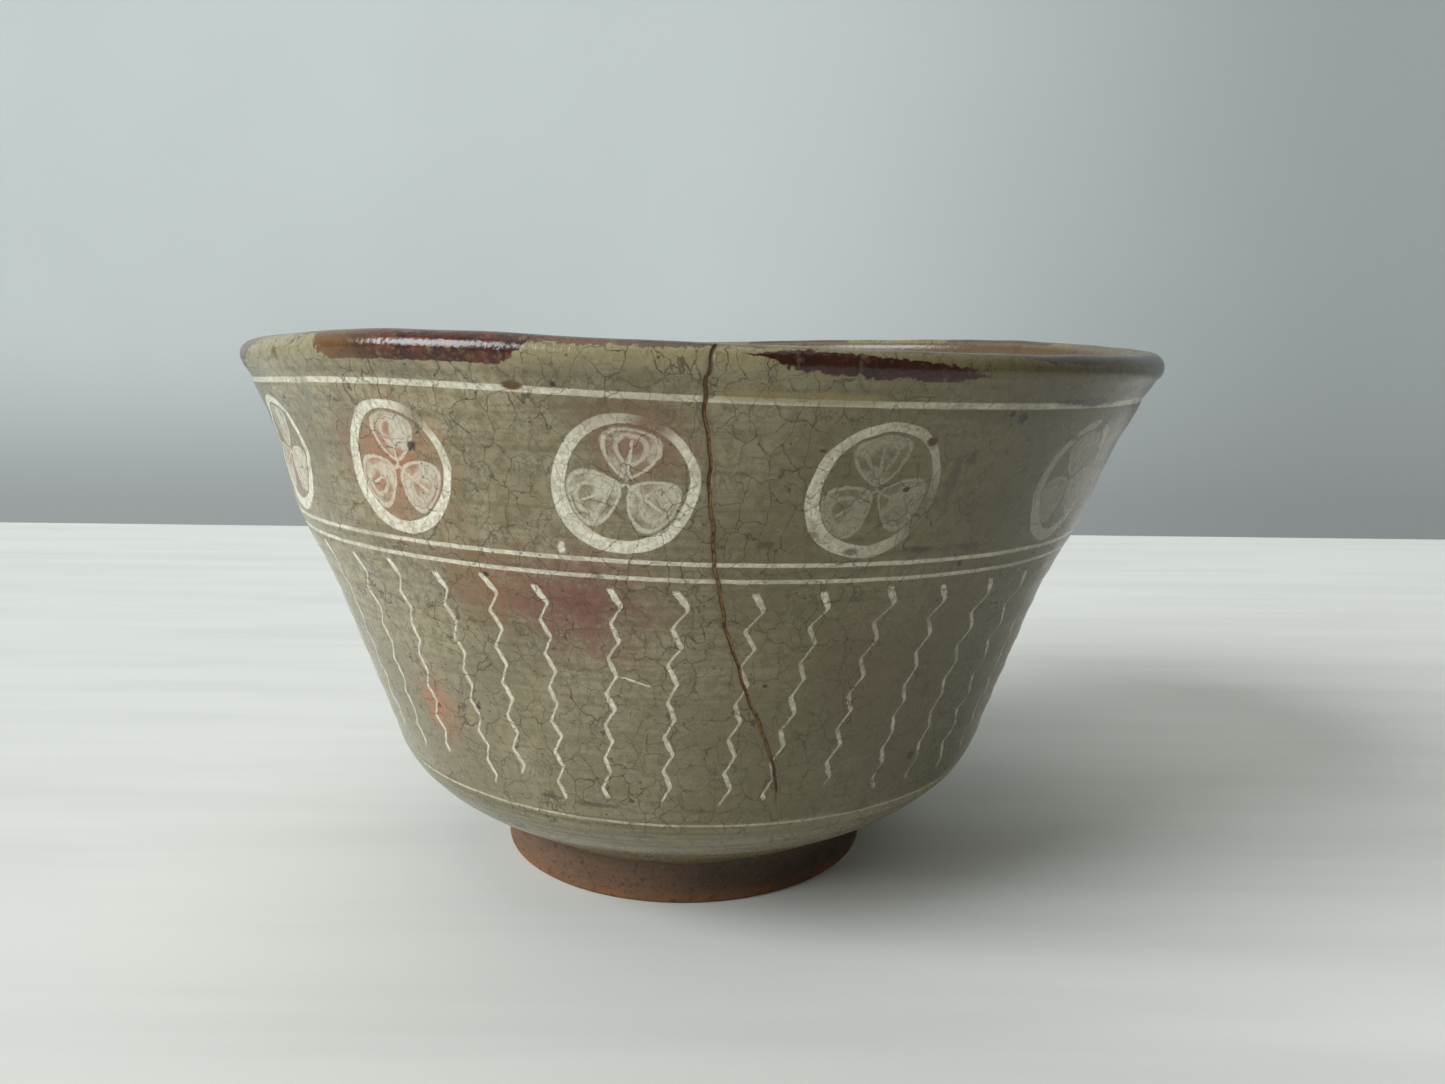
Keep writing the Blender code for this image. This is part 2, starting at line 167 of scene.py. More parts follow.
class TeaBowlColours(bpy.types.PropertyGroup):
    """Colours of the glaze, the inlay, the wear and the stage."""

    glaze: colour("Glaze", "Grey-olive of the glaze", srgb(162, 150, 119))
    glaze_deep: colour("Deep glaze", "Darker, greener patches of the glaze", srgb(130, 120, 92))
    slip: colour("Slip", "White slip in the inlay", srgb(240, 234, 214))
    crackle: colour("Crackle", "Stained crackle lines", srgb(62, 50, 32))
    iron: colour("Iron", "Red-brown iron wash on the lip", srgb(88, 41, 24))
    ochre: colour("Ochre", "Thin ochre glaze on the lip and inside", srgb(126, 100, 58))
    inside: colour("Inside", "Cream glaze of the inside", srgb(152, 140, 108))
    clay: colour("Clay", "Bare clay of the foot", srgb(108, 79, 58))
    # Dark clay serves both the scorched patches and the painted shade on the foot's right side.
    clay_dark_and_shade: colour("Dark clay", "Scorched clay of the foot", srgb(68, 52, 38))
    stain: colour("Stain", "Brown filling of the crack", srgb(172, 130, 72))
    dark: colour("Dark", "Pits and the dark edge of the crack", srgb(40, 28, 18))
    floor: colour("Floor", "Pale table", srgb(229, 229, 225))
    backdrop: colour("Backdrop", "Pale wall behind the table", srgb(221, 228, 229))


# Shape of the bowl


def smooth(low, high, value):
    """Ease from 0 at low to 1 at high."""
    t = np.clip((np.asarray(value, float) - low) / (high - low), 0.0, 1.0)
    return t * t * (3.0 - 2.0 * t)


def curve_through(stations, value):
    """Smooth curve through (place, size) stations, without overshoot."""
    places = np.array([s[0] for s in stations], float)
    sizes = np.array([s[1] for s in stations], float)
    slopes = np.diff(sizes) / np.diff(places)
    tangents = np.empty_like(sizes)
    tangents[0] = slopes[0]
    tangents[-1] = slopes[-1]
    product = slopes[:-1] * slopes[1:]
    total = slopes[:-1] + slopes[1:]
    tangents[1:-1] = np.where(product > 0.0, 2.0 * product / np.where(total == 0, 1, total), 0.0)
    value = np.clip(np.asarray(value, float), places[0], places[-1])
    k = np.clip(np.searchsorted(places, value, side="right") - 1, 0, len(places) - 2)
    span = places[k + 1] - places[k]
    t = (value - places[k]) / span
    return (
        (2 * t**3 - 3 * t**2 + 1) * sizes[k]
        + (t**3 - 2 * t**2 + t) * span * tangents[k]
        + (3 * t**2 - 2 * t**3) * sizes[k + 1]
        + (t**3 - t**2) * span * tangents[k + 1]
    )


def ripple(values, seed, waves=9):
    """Smooth wandering between about -1 and 1 along closed turns, in degrees."""
    rng = np.random.default_rng(seed)
    total = np.zeros_like(np.asarray(values, float))
    weight = 0.0
    for _ in range(waves):
        times = rng.integers(2, 40)
        share = 1.0 / math.sqrt(times)
        total += share * np.sin(np.radians(values) * times + rng.uniform(0.0, math.tau))
        weight += share * share
    return total / math.sqrt(weight * 2.0)


class BowlForm:
    """The surface of the bowl as functions of the angle and the level."""

    def __init__(self, sizes):
        self.sizes = sizes
        self.height = sizes.mean_height
        glaze_radius = sizes.foot_radius + 0.0005
        self.foot_level = sizes.foot_height / self.height
        hip = sizes.hip_radius
        lip = sizes.lip_radius
        self.outer = (
            ((self.foot_level, glaze_radius),)
            + tuple((f, glaze_radius + (hip - glaze_radius) * w) for f, w in HIP_PROFILE)
            + ((HIP_LEVEL, hip),)
            + tuple((f, hip + (lip - hip) * w) for f, w in WALL_PROFILE)
            + ((1.0, lip),)
        )
        self.thickness = (
            (HIP_LEVEL, sizes.hip_thickness),
            (0.578, sizes.wall_thickness),
            (0.815, sizes.neck_thickness),
            (1.0, sizes.lip_thickness),
        )

    def lip_height(self, angle):
        """Height of the lip at an angle in degrees."""
        count = len(LIP_HEIGHTS)
        heights = np.array(LIP_HEIGHTS)
        place = (np.asarray(angle, float) / 360.0 * count) % count
        first = np.floor(place).astype(int) % count
        t = place - np.floor(place)
        a, b, c, d = (heights[(first + k) % count] for k in (-1, 0, 1, 2))
        return 0.5 * (
            2 * b + (c - a) * t + (2 * a - 5 * b + 4 * c - d) * t**2
            + (3 * b - a - 3 * c + d) * t**3
        )

    def dip(self, angle, level):
        """How far the inlay of a level lies below it."""
        grown = smooth(0.0, 0.25, level)
        return self.sizes.ring_dip * np.cos(np.radians(angle)) * grown * (1.0 - level**8)

    def wall_height(self, angle, level):
        """Height of the wall."""
        lift = (self.lip_height(angle) - self.height) * level**4
        return self.height * level + lift - self.dip(angle, level)

    def wall_radius(self, angle, level):
        """Outer radius of the wall."""
        return curve_through(self.outer, level - self.dip(angle, level) / self.height)

    def axis(self, level):
        """Sideways place of the axis."""
        return -self.sizes.foot_shift * (1.0 - curve_through(LEAN_PROFILE, level))

    def outside(self, angle, level, sunk):
        """Axis, radius and height on the outer wall, sunk where a ring is inlaid."""
        ridges = 0.05 * np.sin(math.tau * level * 15.0 + np.radians(angle))
        ridges += 0.03 * np.sin(math.tau * level * 31.0 - np.radians(angle) * 2.0)
        ridges *= smooth(0.1, 0.2, level) * (1.0 - smooth(0.9, 0.97, level))
        swell = 0.3 * smooth(0.84, 0.918, level) + 0.4 * smooth(0.925, 0.96, level)
        radius = self.wall_radius(angle, level) + (ridges + swell - 0.05) * MM
        return self.axis(level), radius - sunk, self.wall_height(angle, level)

    def inside(self, angle, level):
        """Axis, radius and height on the inner wall."""
        radius = self.wall_radius(angle, level) - curve_through(self.thickness, level)
        radius = radius + 0.07 * MM * np.sin(math.tau * level * 13.0 + np.radians(angle))
        return self.axis(level), radius, self.wall_height(angle, level)

    def lip(self, angle, turn):
        """Axis, radius and height on the rounded lip."""
        half = self.sizes.lip_thickness / 2.0
        swing = math.radians(-35.0 + 215.0 * turn)
        worn = (0.1 + 0.1 * ripple(angle, 7, 14)) * MM * max(math.sin(swing), 0.0)
        radius = self.sizes.lip_radius - half + half * math.cos(swing)
        height = self.lip_height(angle) - half + half * math.sin(swing) - worn
        return 0.0, radius * np.ones_like(height), height

    def knee(self, angle, share):
        """Axis, radius and height where the inner wall turns into the floor."""
        _, wall, top = self.inside(angle, KNEE_LEVEL)
        swing = share * math.pi / 2.0
        flat = self.sizes.floor_radius
        radius = flat + (wall - flat) * math.cos(swing)
        height = top - (top - self.sizes.floor_height - FLOOR_SAG) * math.sin(swing)
        return self.axis(KNEE_LEVEL * (1.0 - share)), radius, height

    def turned(self, radius, height):
        """Axis, radius and height on the turned foot and the floors."""
        return -self.sizes.foot_shift, radius, height


def section_rows(form):
    """Rows of the section from the middle of the recess, under the foot, over the lip, to the floor.

    Each row is (place, rise): place gives axis, radius and height for angles in degrees, and
    rise counts up along the section, equal to the level on the outer wall.
    """
    sizes = form.sizes
    rows = []

    def turned(radius, height, rise):
        rows.append((lambda a: form.turned(radius + 0.0 * a, height + 0.0 * a), rise))

    recess = sizes.recess_radius
    corner = recess - RECESS_CORNER
    dome = sizes.recess_depth + RECESS_DOME
    for share in (0.0, 0.06, 0.16, 0.3, 0.45, 0.6, 0.75, 0.9):
        groove = 0.12 * MM * math.sin(share * 34.0)
        turned(corner * share, dome - RECESS_DOME * share**2 + groove * share, -0.6 + 0.2 * share)
    for out, down, rise in (
        (0.0, 0.0, -0.38), (0.45, 0.25, -0.36), (0.8, 0.9, -0.34), (0.95, 1.8, -0.32),
        (1.05, 2.8, -0.3), (1.15, 3.6, -0.28),
    ):
        turned(corner + out * MM, sizes.recess_depth - down * MM, rise)
    edge = 0.5 * MM
    for turn in (0.15, 0.4, 0.7, 1.0):
        swing = turn * math.pi / 2.0
        turned(
            recess + edge * (1 - math.cos(swing)),
            edge * (1 - math.sin(swing)),
            -0.26 + 0.04 * turn,
        )
    foot = sizes.foot_radius
    for share in (0.25, 0.5, 0.75):
        turned(recess + edge + (foot - recess - 2.0 * edge) * share, 0.0, -0.2 + 0.1 * share)
    for turn in (0.0, 0.3, 0.6, 0.85, 1.0):
        swing = turn * math.pi / 2.0
        turned(
            foot - edge * (1 - math.sin(swing)),
            edge * (1 - math.cos(swing)),
            -0.1 + 0.1 * turn,
        )
    bare = sizes.foot_height - 0.0005
    for share in (0.17, 0.34, 0.51, 0.68, 0.85, 1.0):
        height = edge + (bare - edge) * share
        groove = 0.05 * MM * math.sin(share * 21.0) * math.sin(share * math.pi)
        turned(foot + groove - 0.00005, height, height / form.height)
    turned(foot + 0.0002, bare + 0.00012, (bare + 0.00012) / form.height)
    turned(foot + 0.00042, bare + 0.0003, (bare + 0.0003) / form.height)

    step = sizes.row_height / form.height
    levels = list(np.arange(form.foot_level, 0.957, step))
    for ring, half, _ in RINGS:
        beside = half * 1.3 * MM / form.height
        near = [ring - beside, ring, ring + beside]
        levels = [v for v in levels if min(abs(v - n) for n in near) > 0.45 * step]
        levels += near
    for level in sorted(levels):
        on_ring = min(abs(level - ring[0]) for ring in RINGS) < 1e-9
        sunk = 0.1 * MM if on_ring else 0.0
        rows.append((lambda a, v=level, s=sunk: form.outside(a, v, s), level))
    for turn in np.linspace(0.0, 1.0, 16):
        rows.append((lambda a, t=turn: form.lip(a, t), 0.963 + 0.087 * turn))
    for level in np.arange(0.965, 0.335, -0.0165):
        rows.append((lambda a, v=level: form.inside(a, v), INSIDE_SUM - level))
    for share in np.linspace(0.0, 0.92, 12):
        rows.append((lambda a, s=share: form.knee(a, s), 1.685 + 0.12 * share))
    flat = sizes.floor_radius
    for share in (0.86, 0.68, 0.5, 0.32, 0.16, 0.06, 0.0):
        swirl = 0.1 * MM * math.sin(share * 19.0) * share
        turned(flat * share, sizes.floor_height + FLOOR_SAG * share**2 + swirl, 2.0 - 0.15 * share)
    return rows


def crack_angle(rise):
    """Angle of the crack at a rise, in degrees, with its small wandering."""
    out_levels = [c[1] for c in CRACK_COURSE] + [1.01, 1.05, INSIDE_SUM - CRACK_INSIDE_END]
    out_angles = [c[0] for c in CRACK_COURSE] + [CRACK_LIP_DEG, CRACK_LIP_DEG, CRACK_INSIDE_DEG]
    angle = np.interp(rise, out_levels, out_angles)
    wander = 0.1 * math.sin(rise * 61.0) + 0.08 * math.sin(rise * 143.0 + 1.0)
    return angle + wander


def crack_strength(rise):
    """How open the crack is at a rise, from 0 to 1."""
    start = CRACK_COURSE[0][1]
    end = INSIDE_SUM - CRACK_INSIDE_END
    return float(smooth(start - 0.004, start + 0.09, rise) * (1.0 - smooth(end - 0.1, end, rise)))


def column_turns(sizes):
    """Turns of the mesh columns from the crack, in degrees: close together at the crack."""
    steps = [0.1 * MM] * 6
    while steps[-1] < sizes.column_width:
        steps.append(steps[-1] * 1.2)
    reached = sum(steps)
    half_way = math.pi * sizes.lip_radius
    count = int(round((half_way - reached) / sizes.column_width))
    steps += [(half_way - reached) / count] * count
    side = np.cumsum(steps) / half_way * 180.0
    return np.concatenate([-side[::-1], [0.0], side[:-1]])


def lathe(name, profile, steps):
    """Draw the half section point by point and spin it once around."""
    bpy.ops.object.select_all(action="DESELECT")
    bpy.ops.mesh.primitive_plane_add(size=0.001, location=(0.0, 0.0, 0.0))
    bowl = bpy.context.object
    bowl.name = name
    bowl.data.name = name
    bpy.ops.object.mode_set(mode="EDIT")
    bpy.ops.mesh.select_mode(type="VERT")
    bpy.ops.mesh.select_all(action="SELECT")
    bpy.ops.mesh.merge(type="CENTER")
    bpy.ops.transform.translate(value=(profile[0][0], 0.0, profile[0][1]))
    for here, there in zip(profile, profile[1:]):
        move = (there[0] - here[0], 0.0, there[1] - here[1])
        bpy.ops.mesh.extrude_region_move(TRANSFORM_OT_translate={"value": move})
    bpy.ops.mesh.select_all(action="SELECT")
    bpy.ops.mesh.spin(
        steps=steps, dupli=False, angle=math.tau, center=(0.0, 0.0, 0.0), axis=(0.0, 0.0, 1.0)
    )
    bpy.ops.mesh.select_all(action="SELECT")
    bpy.ops.mesh.remove_doubles(threshold=1e-7)
    bpy.ops.object.mode_set(mode="OBJECT")
    return bowl


def indices(bowl, profile, steps):
    """Row and column of every vertex of the spun mesh."""
    points = np.empty(len(bowl.data.vertices) * 3)
    bowl.data.vertices.foreach_get("co", points)
    points = points.reshape(-1, 3)
    column = np.round(np.arctan2(points[:, 1], points[:, 0]) / math.tau * steps).astype(int)
    flat = np.stack([np.hypot(points[:, 0], points[:, 1]), points[:, 2]], axis=1)
    stations = np.array(profile)
    row = np.empty(len(flat), int)
    for start in range(0, len(flat), 8192):
        part = flat[start:start + 8192]
        gap = ((part[:, None, :] - stations[None, :, :]) ** 2).sum(axis=2)
        row[start:start + 8192] = gap.argmin(axis=1)
    return row, column % steps


def shape_grid(form, rows, turns):
    """Points of the real, uneven bowl for every row and column, with their attributes."""
    count = len(turns)
    closed = np.concatenate([turns, [180.0]])
    angles = np.empty((len(rows), count + 1))
    points = np.empty((len(rows), count + 1, 3))
    crack = np.empty((len(rows), count + 1))
    radii = np.empty((len(rows), count + 1))
    for k, (place, rise) in enumerate(rows):
        middle = crack_angle(rise)
        pull = (middle - SEAM_OPPOSITE_DEG) * np.exp(-((closed / 25.0) ** 2))
        angle = SEAM_OPPOSITE_DEG + closed + pull
        axis, radius, height = place(angle)
        turn = np.radians(angle)
        points[k] = np.stack(
            [axis + radius * np.cos(turn), radius * np.sin(turn), height], axis=1
        )
        angles[k] = angle
        radii[k] = radius
        crack[k] = np.radians(angle - middle) * radius
    along = np.gradient(points, axis=0)
    across = np.gradient(points, axis=1)
    normal = np.cross(across, along)
    size = np.linalg.norm(normal, axis=2, keepdims=True)
    normal = normal / np.where(size < 1e-12, 1.0, size)
    strength = np.array([crack_strength(rise) for _, rise in rows])[:, None]
    wander = np.array([0.85 + 0.25 * math.sin(r * 97.0) * math.sin(r * 41.0) for _, r in rows])
    half = form.sizes.crack_width / 2.0 * wander[:, None]
    shape = np.clip(1.0 - np.abs(crack) / half, 0.0, 1.0) ** 0.8
    points -= normal * (form.sizes.crack_depth * strength * shape)[..., None]
    beyond = (1.0 - strength) * 0.8 * MM
    reach = np.hypot(crack, beyond) * np.sign(crack + 1e-12) / MM
    return points, angles, radii, np.clip(reach, -9.0, 9.0)


def nearest(centres, angle):
    """Number of the nearest centre to each angle."""
    return np.abs(angle[:, None] - centres).argmin(axis=1)


def spread(known, count):
    """Known angles and evenly spread ones for the rest of the round."""
    first = known[0]
    last = known[-1]
    step = (360.0 - (last - first)) / (count - len(known) + 1)
    after = [last + step * k for k in range(1, count) if last + step * k < 95.0]
    before = [first - step * k for k in range(count - len(known) - len(after), 0, -1)]
    return before + list(known) + after, len(before)


def line_angles():
    """Angle of each wavy line at its top and at its bottom."""
    tops, skipped = spread([c[0] for c in COMBED_LINES], LINE_COUNT)
    bottoms = [t + LINE_LEAN_DEG for t in tops]
    for k, (_, bottom) in enumerate(COMBED_LINES):
        bottoms[skipped + k] = bottom
    return np.array(tops), np.array(bottoms)


def lay_maps(bowl, form, rows, row, column, angles, radii, crack):
    """Give the mesh its maps: turn and rise, offsets from the lines and from the roundels."""
    data = bowl.data
    loops = np.empty(len(data.loops), int)
    data.loops.foreach_get("vertex_index", loops)
    starts = np.empty(len(data.polygons), int)
    totals = np.empty(len(data.polygons), int)
    data.polygons.foreach_get("loop_start", starts)
    data.polygons.foreach_get("loop_total", totals)
    face = np.repeat(np.arange(len(starts)), totals)
    loop_row = row[loops]
    loop_column = column[loops]
    count = angles.shape[1] - 1
    pole = (loop_row == 0) | (loop_row == len(rows) - 1)
    low = np.minimum.reduceat(np.where(pole, count * 2, loop_column), starts)
    high = np.maximum.reduceat(np.where(pole, -1, loop_column), starts)
    wraps = (high - low) > count // 2
    behind = wraps[face] & (loop_column < count // 2)
    loop_column = np.where(behind, loop_column + count, loop_column)
    loop_column = np.where(pole, low[face], loop_column)
    loop_column = np.clip(loop_column, 0, count)

    rise = np.array([r for _, r in rows])[loop_row]
    angle = angles[loop_row, loop_column]
    radius = radii[loop_row, loop_column]
    face_angle = np.add.reduceat(angle, starts) / totals
    face_rise = np.add.reduceat(rise, starts) / totals

    tops, bottoms = line_angles()
    share = (LINE_TOP - face_rise) / (LINE_TOP - LINE_BOTTOM)
    centres = tops[None, :] + (bottoms - tops)[None, :] * share[:, None]
    line = nearest(centres, face_angle)
    loop_share = (LINE_TOP - rise) / (LINE_TOP - LINE_BOTTOM)
    own = tops[line[face]] + (bottoms - tops)[line[face]] * loop_share
    line_map = np.stack([
        MAP_STEP * line[face] + np.radians(angle - own) * radius / MM,
        rise * form.height / MM,
    ], axis=1)

    stamps, _ = spread(STAMPED_ROUNDELS, ROUNDEL_COUNT)
    stamps = np.array(stamps)
    stamp = nearest(stamps[None, :], face_angle)
    stamp_map = np.stack([
        MAP_STEP * stamp[face] + np.radians(angle - stamps[stamp[face]]) * radius / MM,
        (rise - ROUNDEL_LEVEL) * form.height / MM,
    ], axis=1)

    for name, values in (
        ("turn", np.stack([angle, rise], axis=1)),
        ("lines", line_map),
        ("roundels", stamp_map),
    ):
        layer = data.uv_layers.new(name=name)
        layer.data.foreach_set("uv", values.astype(np.float32).ravel())
    layer = data.attributes.new("crack", "FLOAT", "POINT")
    layer.data.foreach_set("value", crack[row, column].astype(np.float32))


class TEABOWL_OT_throw(bpy.types.Operator):
    """Throw the bowl: draw its section, spin it, and press it into its real, uneven shape"""

    bl_idname = "teabowl.throw"
    bl_label = "Throw the bowl"

    def execute(self, context):
        form = BowlForm(context.scene.tea_bowl_sizes)
        rows = section_rows(form)
        turns = column_turns(form.sizes)
        profile = []
        for place, _ in rows:
            _, radius, height = place(np.array([-90.0]))
            profile.append((float(np.ravel(radius)[0]), float(np.ravel(height)[0])))
        bowl = lathe("glazed_bowl", profile, len(turns))
        row, column = indices(bowl, profile, len(turns))
        points, angles, radii, crack = shape_grid(form, rows, turns)
        moved = points[row, column]
        for pole in (0, len(rows) - 1):
            moved[row == pole] = points[pole].mean(axis=0)
        bowl.data.vertices.foreach_set("co", moved.astype(np.float32).ravel())
        lay_maps(bowl, form, rows, row, column, angles, radii, crack)
        bpy.ops.object.mode_set(mode="EDIT")
        bpy.ops.mesh.select_all(action="SELECT")
        bpy.ops.mesh.normals_make_consistent(inside=False)
        bpy.ops.object.mode_set(mode="OBJECT")
        bpy.ops.object.shade_smooth()
        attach(bowl, "root")
        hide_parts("bowl")
        return {"FINISHED"}


# Inlay, glaze and wear


class Desk:
    """Puts shader nodes on one tree and wires them."""

    def __init__(self, tree):
        self.tree = tree

    def feed(self, socket, value):
        """Wire a socket or set its value."""
        if isinstance(value, bpy.types.NodeSocket):
            self.tree.links.new(value, socket)
        elif hasattr(value, "__len__") and socket.type == "RGBA":
            socket.default_value = tuple(value)[:3] + (1.0,)
        else:
            socket.default_value = value

    def put(self, kind, feeds=None, **settings):
        """Add a node with its settings and inputs."""
        node = self.tree.nodes.new(kind)
        for key, value in settings.items():
            setattr(node, key, value)
        for key, value in (feeds or {}).items():
            self.feed(node.inputs[key], value)
        return node

    def math(self, operation, a, b=0.0):
        """One step of arithmetic."""
        return self.put("ShaderNodeMath", {0: a, 1: b}, operation=operation).outputs[0]

    def add(self, a, b):
        """Sum."""
        return self.math("ADD", a, b)

    def take(self, a, b):
        """Difference."""
        return self.math("SUBTRACT", a, b)

    def times(self, a, b):
        """Product."""
        return self.math("MULTIPLY", a, b)

    def most(self, a, b):
        """The larger of two."""
        return self.math("MAXIMUM", a, b)

    def size(self, value):
        """Value without its sign."""
        return self.math("ABSOLUTE", value)

    def reach(self, a, b):
        """Distance from two offsets."""
        return self.math("SQRT", self.add(self.times(a, a), self.times(b, b)))

    def sway(self, noise, amount):
        """Noise about 0 instead of one half, times an amount."""
        return self.times(self.take(noise, 0.5), amount)

    def ease(self, value, start, end, low=0.0, high=1.0):
        """Smooth step from low at start to high at end."""
        node = self.put(
            "ShaderNodeMapRange",
            {"Value": value, "From Min": start, "From Max": end, "To Min": low, "To Max": high},
            interpolation_type="SMOOTHSTEP",
        )
        return node.outputs["Result"]

    def window(self, value, start, rising, falling, end):
        """1 from rising to falling, easing to 0 at start and end."""
        return self.times(self.ease(value, start, rising), self.ease(value, end, falling))

    def noise(self, place, scale, detail=2.0, roughness=0.5):
        """Cloudy noise between 0 and 1."""
        node = self.put("ShaderNodeTexNoise", {
            "Vector": place, "Scale": scale, "Detail": detail, "Roughness": roughness,
        })
        return node.outputs["Fac"]

    def net(self, place, scale):
        """Distance from the edges between cells."""
        node = self.put(
            "ShaderNodeTexVoronoi", {"Vector": place, "Scale": scale}, feature="DISTANCE_TO_EDGE"
        )
        return node.outputs["Distance"]

    def chance(self, value):
        """A random number that belongs to a value."""
        return self.put("ShaderNodeTexWhiteNoise", {"W": value}, noise_dimensions="1D").outputs[0]

    def mix(self, factor, a, b):
        """Mix two colours."""
        node = self.put("ShaderNodeMix", data_type="RGBA")
        self.feed(node.inputs["Factor"], factor)
        self.feed(node.inputs[6], a)
        self.feed(node.inputs[7], b)
        return node.outputs[2]

    def coats(self, tone, *coats):
        """Lay (mask, tint) coats over a tone, a tint in 8 bits or one of the user's."""
        for mask, tint in coats:
            tone = self.mix(mask, tone, srgb(*tint) if isinstance(tint, tuple) else tint)
        return tone

    def surface(self, feeds):
        """Finish the tree with its shader."""
        shader = self.put("ShaderNodeBsdfPrincipled", feeds)
        self.put("ShaderNodeOutputMaterial", {"Surface": shader.outputs[0]})

    def map(self, name):
        """A map of the piece, and its two values."""
        node = self.put("ShaderNodeUVMap", uv_map=name)
        split = self.put("ShaderNodeSeparateXYZ", {0: node.outputs[0]})
        return node.outputs[0], split.outputs[0], split.outputs[1]

    def stretch(self, place, factors):
        """Scale a place by three factors."""
        node = self.put("ShaderNodeVectorMath", {0: place, 1: factors}, operation="MULTIPLY")
        return node.outputs[0]

    def push(self, place, scale, amount):
        """Displace a place with noise, so that patterns drawn on it wander."""
        node = self.put("ShaderNodeTexNoise", {"Vector": place, "Scale": scale, "Detail": 2.0})
        centred = self.put(
            "ShaderNodeVectorMath", {0: node.outputs["Color"], 1: (0.5, 0.5, 0.5)},
            operation="SUBTRACT",
        )
        scaled = self.put(
            "ShaderNodeVectorMath", {0: centred.outputs[0], "Scale": amount}, operation="SCALE"
        )
        moved = self.put(
            "ShaderNodeVectorMath", {0: place, 1: scaled.outputs[0]}, operation="ADD"
        )
        return moved.outputs[0]


def new_material(name):
    """Empty material and a desk on its tree."""
    material = bpy.data.materials.new(name)
    material.use_nodes = True
    material.node_tree.nodes.clear()
    return material, Desk(material.node_tree)


# Spots in the glaze: turn, rise, half width in degrees, half height in mm, strength, tint.
BLUSHES = (
    (-121.5, 0.805, 10.5, 10.5, 0.8, (170, 112, 84)),
    (-128.3, 0.82, 2.6, 6.0, 0.5, (134, 94, 66)),
    (-146.0, 0.775, 6.0, 10.0, 0.65, (144, 94, 82)),
    (-94.6, 0.868, 7.5, 6.5, 0.85, (136, 92, 72)),
    (-111.5, 0.645, 11.0, 7.5, 0.78, (142, 96, 66)),
    (-101.0, 0.624, 12.5, 10.0, 0.95, (122, 76, 68)),
    (-99.0, 0.575, 5.0, 3.2, 0.4, (124, 84, 72)),
    (-106.5, 0.6, 5.0, 4.0, 0.45, (132, 88, 70)),
    (-128.3, 0.398, 7.0, 7.0, 0.75, (168, 104, 70)),
    (-66.0, 0.52, 9.0, 12.0, 0.3, (112, 84, 62)),
    (-56.0, 0.42, 9.0, 10.0, 0.25, (104, 84, 60)),
    (-36.0, 0.8, 7.0, 12.0, 0.3, (104, 78, 74)),
    (-27.0, 0.93, 6.0, 12.0, 0.75, (82, 60, 58)),
    (-172.0, 0.55, 12.0, 11.0, 0.55, (142, 92, 70)),
    (-204.0, 0.79, 8.0, 9.0, 0.5, (150, 106, 88)),
    (-236.0, 0.48, 12.0, 8.0, 0.5, (128, 84, 74)),
    (34.0, 0.45, 14.0, 9.0, 0.5, (134, 88, 70)),
    (66.0, 0.83, 7.0, 6.0, 0.5, (150, 104, 84)),
)

# Stains, drips and dirt, given in the same way.
STAINS = (
    (-95.5, 0.905, 9.0, 2.2, 0.35, (110, 92, 62)),
    (-80.0, 0.931, 11.0, 0.9, 0.65, (142, 128, 78)),
    (-133.3, 0.905, 1.0, 3.0, 0.55, (112, 120, 110)),
    (-46.0, 0.931, 8.0, 0.7, 0.95, (50, 38, 22)),
    (-40.5, 0.937, 3.0, 0.6, 0.8, (66, 48, 32)),
    (-62.2, 0.822, 0.9, 3.6, 0.6, (72, 64, 42)),
    (-60.8, 0.85, 0.8, 1.2, 0.6, (60, 52, 34)),
    (-39.8, 0.892, 1.7, 1.2, 1.0, (64, 44, 26)),
    (-45.5, 0.876, 2.6, 0.5, 0.7, (72, 52, 34)),
    (-48.5, 0.818, 0.8, 0.9, 0.6, (72, 56, 38)),
    (-81.3, 0.727, 1.3, 0.6, 0.75, (78, 58, 34)),
    (-76.5, 0.742, 0.9, 0.6, 0.55, (78, 60, 38)),
    (-72.0, 0.716, 1.2, 0.6, 0.7, (66, 54, 34)),
    (-63.5, 0.716, 2.2, 0.45, 0.8, (64, 50, 30)),
    (-56.0, 0.716, 3.2, 0.45, 0.7, (66, 52, 32)),
    (-105.9, 0.93, 1.25, 0.55, 1.0, (92, 68, 24)),
    (-66.4, 0.876, 0.75, 0.65, 1.0, (78, 44, 16)),
    (-77.4, 0.862, 0.55, 0.35, 1.0, (84, 52, 22)),
    (-136.6, 0.972, 1.0, 0.9, 0.9, (104, 84, 40)),
    (-102.0, 0.274, 5.0, 0.5, 0.65, (78, 66, 40)),
    (-110.0, 0.277, 2.4, 0.5, 0.6, (78, 64, 40)),
    (-87.0, 0.275, 2.4, 0.5, 0.55, (80, 66, 42)),
    (-95.5, 0.215, 3.2, 0.4, 0.55, (72, 58, 36)),
    (-60.0, 0.25, 4.0, 0.5, 0.55, (66, 54, 34)),
    (-160.0, 0.93, 4.0, 0.6, 0.8, (60, 44, 26)),
    (-212.0, 0.72, 2.5, 0.6, 0.7, (62, 50, 30)),
    (-245.0, 0.88, 1.2, 3.2, 0.6, (84, 72, 46)),
    (14.0, 0.69, 3.0, 0.5, 0.7, (64, 50, 30)),
    (52.0, 0.56, 1.2, 0.9, 0.9, (70, 48, 26)),
)

